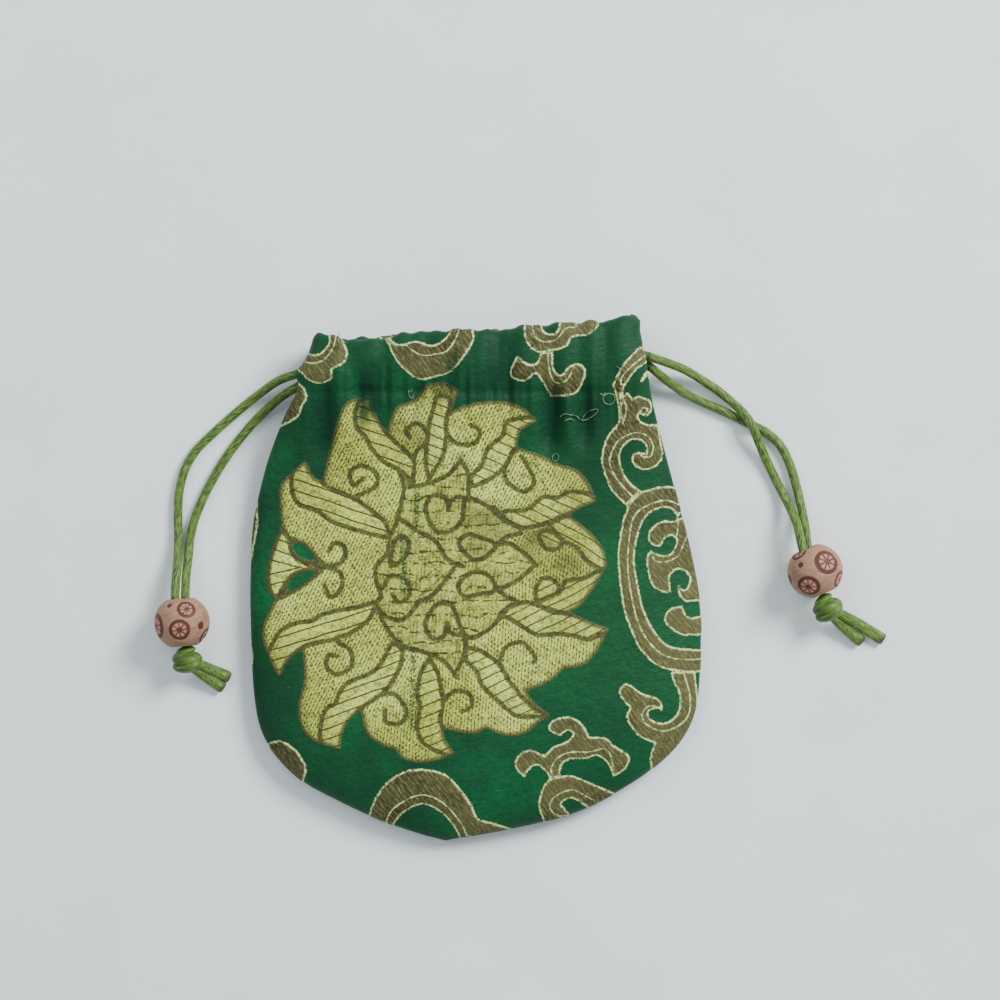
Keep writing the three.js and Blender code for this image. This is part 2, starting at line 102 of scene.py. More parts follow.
# Sections of the bag from its tip to its mouth: left x, y and right x, y as shares of half the width and
# length, heights of the seam and the crown, squareness, and the share of the mouth's height
SECTIONS = [
    (-0.134, -1.0, -0.134, -1.0, 0.3, 0.3, 2.3, 0),
    (-0.275, -0.967, 0.047, -0.972, 0.29, 0.47, 2.3, 0),
    (-0.456, -0.91, 0.249, -0.939, 0.28, 0.62, 2.3, 0),
    (-0.617, -0.845, 0.45, -0.891, 0.28, 0.74, 2.3, 0),
    (-0.768, -0.773, 0.621, -0.818, 0.28, 0.83, 2.3, 0),
    (-0.879, -0.682, 0.782, -0.727, 0.28, 0.9, 2.3, 0),
    (-0.952, -0.578, 0.909, -0.62, 0.28, 0.95, 2.3, 0),
    (-0.984, -0.436, 0.98, -0.488, 0.28, 0.985, 2.3, 0),
    (-0.996, -0.227, 1.0, -0.297, 0.28, 1.0, 2.3, 0),
    (-1.0, 0.0, 0.996, -0.089, 0.28, 1.0, 2.3, 0),
    (-0.984, 0.215, 0.952, 0.12, 0.29, 1.0, 2.35, 0),
    (-0.94, 0.398, 0.885, 0.345, 0.34, 0.99, 2.5, 0.12),
    (-0.875, 0.559, 0.817, 0.5625, 0.42, 0.96, 2.9, 0.5),
    (-0.791, 0.714, 0.772, 0.72, 0.48, 0.92, 3.6, 1),
    (-0.778, 0.783, 0.762, 0.814, 0.5, 0.985, 4, 1),
    (-0.738, 0.849, 0.74, 0.891, 0.5, 1.0, 4, 1),
    (-0.706, 0.932, 0.708, 1.006, 0.5, 0.98, 4, 1),
]

# Gathers: x at the mouth, x and y at the foot, width, depth and dip
GATHERS = [
    (-0.68, -0.66, 0.36, 1.1, 0.7, 0.2),
    (-0.57, -0.49, 0.42, 0.9, 1.0, 1.2),
    (-0.39, -0.43, 0.46, 0.8, 0.8, 1.3),
    (-0.2, -0.22, 0.5, 1.0, 0.5, 0),
    (0.0, -0.05, 0.5, 0.9, 0.5, 0.2),
    (0.12, 0.13, 0.4, 1.1, 1.0, 0.5),
    (0.3, 0.35, 0.25, 1.0, 0.9, 0.3),
    (0.46, 0.45, 0.4, 0.8, 0.7, 0.6),
    (0.57, 0.6, 0.5, 0.8, 0.6, 0.7),
]

# Soft folds in the front: x at the top and foot, y at the foot and top, width, depth and pull on the edge
FOLDS = [
    (-22.6, -24.5, 34, 47, 2.0, 1.5, 0), (4.2, 3.4, 41, 57, 2.0, 1.0, 0.3), (17, 16, 28, 42, 2.0, 1.4, 0),
    (24.4, 24, 29, 41, 1.8, 1.3, 0), (28.4, 28.4, 45, 57, 1.6, 0.5, 0), (-32.6, -34, 27, 42, 2.6, 1.3, 0),
    (-5, -5.6, 40, 50, 1.6, 0.9, 0), (-12.4, -13, 38, 44, 1.4, 0.7, 0), (-28.5, -29, 31, 45, 1.8, -0.7, 0),
    (20.3, 20.3, 29, 42, 1.6, -0.8, 0), (10.4, 10, 42, 56, 2.0, -0.4, 0),
    (-23.8, -23.8, 50, 58, 2.4, 0.3, 1.3), (-34.5, -34.5, 50, 58, 2.2, 0, -1.3),
    (34.5, 34.5, 50, 58, 2.2, 0, -0.5),
]

# Pulled threads and frayed tufts in the plan, with 1 for a closed loop
THREAD_LINES = [
    (0, [(-14.6, 41.6), (-14.7, 40.6), (-14.1, 39.9), (-13.6, 40.5), (-13.5, 41.3)]),
    (0, [(-14.2, 41.2), (-14.0, 41.8)]),
    (1, [(29.3, 41.0), (30.5, 40.5), (30.6, 39.3), (29.6, 38.5), (28.4, 38.9), (28.1, 40.2)]),
    (0, [(27.4, 40.9), (28.2, 40.6), (28.6, 41.1)]),
    (1, [(23.2, 35.0), (24.6, 36.8), (26.8, 37.5), (26.5, 36.5), (24.6, 35.2)]),
    (0, [(18.6, 35.8), (19.6, 36.4), (20.9, 36.2), (22.1, 36.0), (22.9, 35.3)]),
    (0, [(19.6, 34.9), (20.8, 35.3), (21.8, 34.9)]),
    (1, [(17.6, 27.8), (18.3, 27.2), (18.0, 26.2), (17.2, 26.1), (16.9, 27.0)]),
    (0, [(-30.2, 52.2), (-30.0, 53.2), (-29.8, 54.3)]), (0, [(-18.2, 51.8), (-19.0, 52.5), (-19.8, 52.9)]),
    (0, [(-4.8, 54.2), (-4.0, 55.2), (-2.8, 54.8)]), (0, [(-5.4, 54.2), (-5.1, 55.1)]),
    (0, [(-2.4, 54.2), (-1.7, 55.0)]), (0, [(26.1, 54.8), (26.3, 55.5), (26.6, 56.1)]),
    (0, [(31.9, 45.7), (31.6, 46.5), (30.9, 46.9)]),
]

# Where the cloth flares at a slit: side, y, reach and distance
FLARES = [(-1, 45.2, 1.5, 1.0), (1, 57.2, 1.6, 0.9)]

# Free strands: the slit's row, and points from there to the bead, measured from the slit's place on the seam
STRANDS = {
    "left_cord_upper": (14.05, [
        (-0.1, 0.0, 7.7), (-4.8, -1.6, 5.2), (-9.8, -4.9, 2.4), (-14.8, -8.9, 1.2), (-19.8, -13.4, 1.05),
        (-23.1, -16.7, 1.05), (-25.5, -20.7, 1.05), (-26.9, -25.7, 1.05), (-27.2, -30.7, 1.1),
        (-27.1, -35.3, 1.4), (-27.1, -39.3, 2.4), (-27.2, -43.2, 4.2)]),
    "left_cord_lower": (13.3, [
        (0.4, 0.0, 6.9), (-3.0, -1.9, 4.7), (-6.9, -4.9, 2.3), (-10.9, -8.9, 1.2), (-14.9, -13.9, 1.05),
        (-17.9, -18.4, 1.05), (-20.9, -23.9, 1.05), (-23.2, -29.4, 1.1), (-24.2, -33.8, 1.4),
        (-24.5, -37.8, 2.4), (-24.8, -41.6, 4.2)]),
    "right_cord_upper": (14.5, [
        (0.4, 0.0, 8.3), (4.9, -1.4, 5.7), (8.9, -2.9, 3.3), (12.9, -5.2, 1.9), (16.9, -7.9, 1.5),
        (19.9, -10.5, 2.0), (22.2, -12.9, 2.9), (23.8, -15.5, 3.45), (25.2, -18.9, 2.6), (27.0, -22.9, 1.4),
        (29.6, -28.2, 1.2), (31.9, -33.0, 3.0), (33.3, -36.7, 5.6)]),
    "right_cord_lower": (14.08, [
        (0.5, -0.4, 6.3), (4.2, -3.3, 4.0), (7.7, -5.7, 2.0), (12.2, -8.0, 1.1), (17.2, -10.2, 1.05),
        (21.2, -12.2, 1.05), (23.8, -13.4, 1.05), (26.7, -15.0, 1.05), (29.6, -17.7, 1.05),
        (31.7, -21.9, 1.1), (33.2, -26.9, 1.3), (34.3, -32.2, 2.6), (34.9, -36.2, 4.5)]),
}

# Beads: centre in the plan, heading of the bore and how far the pair of strands is turned
BEADS = {"left": (-64.45, -9.4, -85.5, 0), "right": (74.65, 1.9, -66.5, 55)}

# Tails from inside the knot to the table, measured from the middle of the knot
TAILS = {
    "left_tail_long": [(0.6, -0.2, 5.2), (3.2, -1.1, 3.7), (6.2, -2.5, 2.2), (9.4, -4.0, 1.1)],
    "left_tail_short": [(0.5, -0.8, 4.4), (2.4, -2.3, 3.3), (5.1, -4.3, 2.0), (8.1, -6.3, 1.1)],
    "right_tail_long": [(-0.2, -0.4, 5.3), (2.6, -1.9, 3.8), (6.1, -3.8, 2.4), (9.6, -6.0, 1.3),
                        (12.2, -7.6, 1.1)],
    "right_tail_short": [(-0.4, -0.8, 4.6), (1.5, -3.1, 3.4), (4.1, -5.4, 2.1), (7.4, -8.1, 1.1)],
}
TAIL_WIDTH = 2.7
TAIL_FLATNESS = 0.72
TAIL_TAPER = [(0, 0.8), (0.3, 0.85), (0.9, 1), (0.97, 0.98), (1, 0.85)]

# Turns of a knot along its length: middle, half width, radius, tilt and the side it tilts to
KNOT_TURNS = [
    (-2.2, 1.2, 2.5, 0.6, 10), (0.2, 1.5, 3.2, -0.5, 20), (0.9, 1.1, 3.3, 1.5, 60),
    (2.3, 1.0, 2.2, 0.7, 30),
]
KNOT_STRETCH = 1.06
KNOT_CORE = 1.7
KNOT_SIDES = 72
KNOT_RINGS = 60
KNOT_SHIFT = {"left": (0.45, 0.2), "right": (-0.6, -0.3)}

# Wheels on the beads: x and y from the bead's middle seen from above, radius, and 1 on top
WHEELS = {
    "left": [(-0.1, -1.6, 2.5, 1), (1.4, 3.2, 2.2, 1), (-5.5, -0.8, 2.9, 1), (4.6, -0.6, 1.0, 1),
             (-2.5, 3.9, 0.8, 1), (5.2, -3.0, 2.0, 1), (0.5, 2.2, 2.6, -1), (-2.6, -2.8, 2.4, -1)],
    "right": [(2.2, 2.2, 3.0, 1), (-1.9, -3.5, 2.7, 1), (-3.7, 1.4, 0.8, 1), (-3.9, 4.1, 2.0, 1),
              (5.2, -1.9, 2.0, 1), (-5.7, -1.8, 1.2, 1), (1.0, 2.6, 2.7, -1), (-2.0, -2.6, 2.4, -1)],
}
SPOKES = 8
SMALLEST_WHEEL = 1.5
CARVING_DEPTH = 0.16

# The brocade's chart, in the plan, from the lotus's outline on. A third value of 1 marks a corner.
LOTUS = [
    (-42.7, 20.3), (-42.6, 15.6), (-42.5, 11.3), (-43.7, 8.5), (-44.8, 5.2), (-45.6, 0.8), (-45.1, -2.7),
    (-43.8, -4.4, 1), (-45, -7), (-46.4, -10.1), (-46.6, -13), (-45.3, -16.7), (-43.2, -20.9, 1),
    (-41.8, -18.2), (-39.8, -16), (-37.8, -15.3, 1), (-37.5, -18), (-37.5, -22.8), (-38.6, -28),
    (-37.8, -32.6), (-35.2, -35.3), (-30, -37, 1), (-29.8, -34.4), (-28.2, -30.9), (-24.9, -28.3, 1),
    (-24.4, -31.5), (-23, -34.4), (-19.8, -36.5), (-17.6, -37), (-15.5, -39.4), (-10.7, -39.9),
    (-5, -38.2, 1), (-7.2, -35), (-7.2, -32.4, 1), (-4.1, -33.2), (0, -33.5), (2.3, -32.5), (6.2, -34),
    (10.5, -33.7), (13.8, -31.1), (16, -30, 1), (12.7, -27.4), (10.5, -24.1, 1), (13.4, -23.5),
    (17.1, -21.5), (19.3, -19.4), (23.2, -18.7), (26, -16.3), (28.9, -11, 1), (24.9, -9.6),
    (20.1, -7.1, 1), (23.2, -5.1), (26.9, 0.2), (28.6, 3.4, 1), (27.5, 7.1), (24.7, 10.4),
    (20.1, 14.1, 1), (22.7, 15.9), (26.2, 17.4, 1), (24.7, 20.9), (22.1, 23.8), (18.2, 25.1), (14.2, 27),
    (11.4, 28), (8.7, 28.8, 1), (9.7, 32.9), (13.2, 34.9, 1), (10.5, 37.3), (6.6, 38.7), (0.9, 38.7),
    (-3.5, 37.5), (-5.9, 36.2, 1), (-4.8, 39.7), (-4.1, 41.4), (-6.3, 42.8), (-10.5, 42.5), (-13.3, 39.2),
    (-17, 37.8), (-18.6, 34.5), (-19, 32, 1), (-21, 33.9), (-22.8, 37.3), (-23, 39.9, 1), (-28, 38.8),
    (-30, 35.1), (-31.3, 30.3), (-33.4, 21.2, 1), (-35.8, 22.3), (-37.6, 25.7, 1), (-40.4, 23.1),
]
# Openings in the lotus where the ground shows
EYES = [
    [(-40.2, 7.6), (-39, 8), (-37.3, 7.2), (-35.9, 5.4), (-35, 4.2, 1), (-36.8, 4.3), (-38.5, 4.9),
     (-39.8, 6)],
    [(-35, 1.7, 1), (-36.8, 1.7), (-39, 1.2), (-40.7, -0.3), (-41.5, -2.3, 1), (-40.4, -2.5), (-38.5, -1.5),
     (-36.4, 0.2)],
]
# Smooth bands along the turned-over petals
BANDS = [
    [(-42.8, 10.5), (-44, 8), (-45.2, 4), (-45.6, 0.8), (-45.1, -2.5), (-44, -4.3), (-43, -3.6),
     (-42, -1.8), (-41, 0.3), (-39.5, 1.3), (-37, 1.9), (-35, 2.4), (-35, 3.2), (-37.5, 3.7),
     (-39.2, 4.4), (-40.3, 5.7), (-40.8, 7.5), (-41.3, 9.3)],
    [(-38, 26.5), (-40.3, 23.5), (-40.4, 19.6), (-39.8, 17.8), (-38.5, 16.3), (-34.7, 15), (-31.7, 12.8),
     (-27.6, 11.3), (-23.2, 10), (-18.8, 9, 1), (-19.7, 12.2), (-21.7, 14.1), (-26, 17.4), (-30.4, 19.3),
     (-33.3, 20.8), (-34, 22.5), (-36, 25)],
    [(-25, 39.8), (-26.3, 37.5), (-26.3, 33.8), (-24.1, 31.2), (-22.6, 28.4), (-19.9, 25.7),
     (-16.1, 23.6), (-13.9, 20.5, 1), (-13.6, 23.8), (-13.7, 26.2), (-16.1, 28.8), (-18.9, 31.4),
     (-21, 35), (-22.3, 40.5)],
    [(-8.6, 40), (-6.5, 40.3), (-5.6, 38.5), (-6.5, 35), (-6.5, 31), (-7.4, 26.8), (-10.3, 22.2, 1),
     (-11, 25.5), (-10.8, 29), (-10.4, 33), (-9.5, 37), (-9, 38.5)],
    [(-0.8, 22.9), (1.5, 25.3), (2.6, 28.6), (6.1, 31.8), (6.9, 34.7), (12, 35.6), (14, 35), (10.5, 32),
     (9.3, 29), (8.2, 28.2), (6.8, 25.3), (4.1, 22.7), (0.7, 20.9), (-0.8, 20.8)],
    [(6.3, 14.9), (11.2, 15.3), (14.9, 18.1), (17.9, 17.9), (20.6, 19.2), (25.3, 18.9), (27, 18.8),
     (26.8, 16.2), (23, 15), (20, 14.3), (16.2, 12.6), (13.4, 11.8), (9.9, 11.3), (6.6, 13.2)],
    [(16.2, 12.2), (19.8, 13.8), (22, 14.6), (26.5, 9.9), (28.8, 7), (29.6, 3.5), (28, 2.3), (24.7, 3.9),
     (22.3, 6.9), (19.3, 8.5), (16.9, 11.2)],
    [(14.3, 10.5), (15.5, 10.8), (17, 10.2), (18.7, 9), (19, 7.9), (18.2, 6.9), (16.6, 6.5), (15.2, 7),
     (14.3, 8.2), (14, 9.4)],
    [(27.9, 2.2), (23.6, 0.2), (19.9, -0.4), (18.4, -2.9), (13.9, -5.2), (17, -7.2), (20.3, -7.3),
     (23, -6.8), (26, -3.5), (29, 2)],
    [(13.5, -4.6), (13.2, -3), (13.5, -1.4), (14.3, -0.1), (15.5, 0.3), (17, -0.1), (18.2, -1.2),
     (18.1, -2.6), (16.8, -3.6), (15, -4.3)],
    [(6, -7), (7.7, -5.9), (11.2, -5.1), (14.9, -6.1), (19.8, -7.6), (25, -8.4), (29.5, -9.6),
     (29.8, -11.4), (28, -12), (24.9, -13.2), (21.9, -12.5), (17.9, -12), (13.6, -12.2), (10.5, -10.5),
     (7.3, -8.5), (5.3, -8.3)],
    [(-1.7, -15.2), (1.7, -16.1), (5.2, -18.8), (8.1, -23.3), (12.7, -28.3), (17, -30.2, 1), (13.2, -30.2),
     (9, -30), (5.9, -27.6), (1.7, -23.7), (0.2, -20.2), (-2, -17.8)],
    [(-10.2, -17.4), (-12.2, -21.1), (-12.8, -25.4), (-12.3, -28), (-12.8, -33.1), (-11.3, -36.1),
     (-8.1, -38), (-4.5, -38.4), (-6.6, -34), (-7.8, -31.1), (-7.2, -27.2), (-8.1, -21.3), (-9.8, -18)],
    [(-34.1, -35.3), (-33.8, -30.7), (-32.4, -28), (-30.9, -27.5), (-30, -25), (-27.8, -22.6),
     (-21.9, -19.8), (-18.4, -14, 1), (-16.2, -15.6), (-16.8, -19.5), (-19.8, -24.4), (-24.9, -28.2),
     (-27.6, -31.6), (-28.8, -38), (-32, -38)],
    [(-44.6, -13.9), (-42.8, -11.3), (-39.5, -9.6), (-36, -9.1), (-33, -7.5), (-26, -6.1),
     (-21.7, -4.9, 1), (-23.2, -8.4), (-26, -10.9), (-30.5, -13), (-38, -14.9), (-41.8, -19),
     (-42.8, -21.5), (-45.6, -20), (-45.8, -17)],
]
# Dark lines between the petals and of the curls on them
STROKES = [
    [(-42.5, 11.3), (-41.1, 9.1), (-40.4, 5.8), (-37.8, 3.8), (-34.7, 3.2)],
    [(-41.1, 9.1), (-37.8, 7.8), (-35.2, 5), (-32.8, 2.8)],
    [(-34.5, 3), (-32.8, 2.8), (-29.3, 3.9), (-28.7, 6.9), (-31, 8), (-32.4, 6.1)],
    [(-32.5, 2.6), (-29.7, 1.3), (-29.5, -2), (-31.9, -3.9), (-33.3, -1.4)],
    [(-34.7, 2.4), (-38.5, 1.8), (-41.3, -0.3), (-43.7, -4.4)],
    [(-33.9, 1.9), (-36.5, 0), (-39.8, -2.2), (-42.6, -4)],
    [(-19.3, 5.8), (-21.9, 2.8), (-21.9, 0), (-20.8, -3.5), (-21.5, -4.8)],
    [(-20.3, -1.6), (-18.7, 0.8), (-15.9, 0.3), (-14.8, -0.5)],
    [(-19.2, 7.8), (-18.7, 3.4)],
    [(-24.7, 22.3), (-26.9, 20.7), (-27.6, 23.6), (-24.9, 25), (-21.9, 23.3), (-22.1, 20.3), (-26.3, 18.3)],
    [(-16.8, 24), (-15.8, 20.3), (-16.3, 17), (-17.2, 13.5), (-18.3, 10.2)],
    [(-10.8, 30), (-10.6, 32.2), (-12.8, 34.3), (-15.3, 32.8), (-14.5, 31.2)],
    [(-10.7, 30), (-12.8, 28.4), (-13.7, 26.4)],
    [(-6.4, 35.5), (-6.3, 32.1), (-3.9, 29.8), (-0.2, 29.9), (0.9, 32.5), (-1.1, 34)],
    [(8.7, 28.4), (6.6, 25), (6.8, 21.6), (10.5, 19.3), (12.9, 21.6), (10.2, 27)],
    [(4, 15.9), (6.6, 13.2), (9.9, 11.3)],
    [(4.6, 7.6), (7.3, 7.9), (10.3, 6.1), (13.4, 3)],
    [(12.7, 2.8), (8.8, -0.5), (4.8, -2), (4.1, -0.7)],
    [(-30.4, -13.9), (-27.6, -15.6), (-27.3, -19.1), (-30.4, -20.9), (-32.8, -19.3), (-32.4, -16.7),
     (-30.4, -16.9)],
    [(-21.5, -5.9), (-20.4, -9.3), (-16.6, -14.3), (-10.7, -16.2), (-7.2, -17.8), (-4, -21.7)],
    [(-20.7, -25.4), (-17.6, -25.4), (-15.2, -28.9), (-16.3, -31.5), (-19.6, -31.5), (-19.9, -28.7)],
    [(-7, -26.7), (-4.6, -24.6), (-1.5, -25.2), (-0.9, -27.8), (-3, -29.1)],
    [(5.2, -18.4), (6.6, -15), (10.3, -13.9), (13.1, -17.2), (12.6, -18.4)],
    [(-14.6, 20.3), (-11.1, 20.9), (-5.9, 23.1), (-3.3, 26.4, 1), (-1.7, 23.3), (-1.6, 18.3)],
    [(-6, 15.2), (-6.7, 18), (-9.6, 18.3), (-11, 15.2), (-8.7, 10.6), (-5.2, 10.8), (-3, 13.2),
     (-2.2, 17.6), (1.7, 16.7), (6.1, 13.2), (9.4, 11.5)],
    [(10, 10.2), (6.1, 8.9), (2.6, 5.2), (-0.6, 4.3), (-3.7, 7.8), (-1.7, 9.8), (2, 8.9)],
    [(9.4, -5.1), (5.3, -2.7), (3.1, 0.6), (-0.2, 1.7), (-3.7, -0.9), (-2.6, -3.7), (1.5, -3.1)],
    [(-6.3, -9.4), (-7, -12.5), (-9.6, -12.9), (-11.1, -9.8), (-8.7, -5.7), (-5.2, -5.9), (-3.3, -10.5),
     (-0.9, -12.9), (3.7, -10.3), (7, -6.4), (8.5, -5.9)],
    [(-3, -11.5), (-2.2, -15), (-3.9, -19.8)],
    [(-16.8, 13.5), (-13.1, 10.8), (-8.9, 8.5), (-6.3, 4.5), (-2.8, 2.8)],
    [(-4.8, 2.4), (-7.6, -1.4), (-10.2, -4), (-13.3, -5.1)],
    [(-18.7, 2.8), (-17.1, 3.5), (-15.4, 5.1), (-14.7, 7.3), (-15.1, 9), (-16.7, 9.5), (-18, 7.7),
     (-18.7, 4.2)],
    [(-14.8, -0.5), (-14.6, -3.5), (-16.8, -5.1), (-18.3, -3.3)],
    [(-22, -5.9), (-19.4, -8.3), (-15.9, -8.8), (-12.6, -5.3)],
    [(-6, 15.2), (-5.3, 17.4), (-3.7, 18.1), (-2.4, 17.9)], [(2, 8.9), (3.8, 8.2), (4.5, 6.9)],
    [(1.5, -3.1), (3.4, -3), (4.4, -2)], [(-6.3, -9.4), (-5.6, -11.5), (-4.2, -12.3), (-3, -12)],
]
HAIRLINES = [
    [(-13.5, 9.3), (-10, 6.5), (-7.2, 3.6)], [(-13.2, 5.8), (-10.5, 4), (-8.4, 2.9)],
    [(-8.5, 2.5), (-11.5, 0.3), (-13.8, -1)], [(-7.5, 0.5), (-9.5, -1.3), (-12.5, -3.8)],
]
LEAF = [
    (2.6, 5.2), (4.6, 7.6), (7.3, 7.9), (10.3, 6.1), (13.4, 3), (12.5, 2), (8.8, -0.5), (4.8, -2),
    (2.5, 1.2),
]

# Places where the weave is at fault: x, y and half its height
FAULTS = [(-12.9, 16, 3.2), (-15.8, 3, 6), (-13.8, -24, 9)]

# Painted shade on the gold, dark patches where it lies in the folds' shade and around the heart: x, y, reach
# in x and y, and strength
GOLD_SHADE_PATCHES = [
    (-13, 31.5, 4.5, 4, 0.75), (-7.5, 41.5, 6, 2.6, 1), (-22.5, 38.5, 3, 2.5, 0.65),
    (-25.5, 35, 2, 5, 0.45), (13, 9, 4, 3, 0.85), (20, 3.6, 4.6, 3, 0.8), (2.5, 13.3, 5.5, 3, 0.75),
    (0, 7.1, 3.8, 2.6, 0.75), (12, 38, 4, 1.6, 0.4), (-28, 27, 2, 8, 0.25), (18, -9, 7, 3, 0.2),
    (-16.5, 34, 2, 4, 0.5),
]
# The middle of the lotus, which has ribs and dashes
HEART = [
    (-18, 10), (-16.8, 13.5), (-15.7, 19.3), (-14.2, 20.3), (-7.6, 22), (-3.3, 26.4), (-1.4, 20),
    (0.2, 17.6), (6.1, 13.2), (9.4, 11.5), (6.1, 8.9), (2.6, 5.2), (2.5, 1.2), (5.3, -2.7), (9.4, -5.1),
    (4.6, -8.8),
    (-0.9, -12.9), (-2.4, -16.7), (-5.7, -19.1), (-12.6, -15.7), (-20, -11), (-20.8, -3), (-22.2, 1.2),
    (-19.2, 6),
]
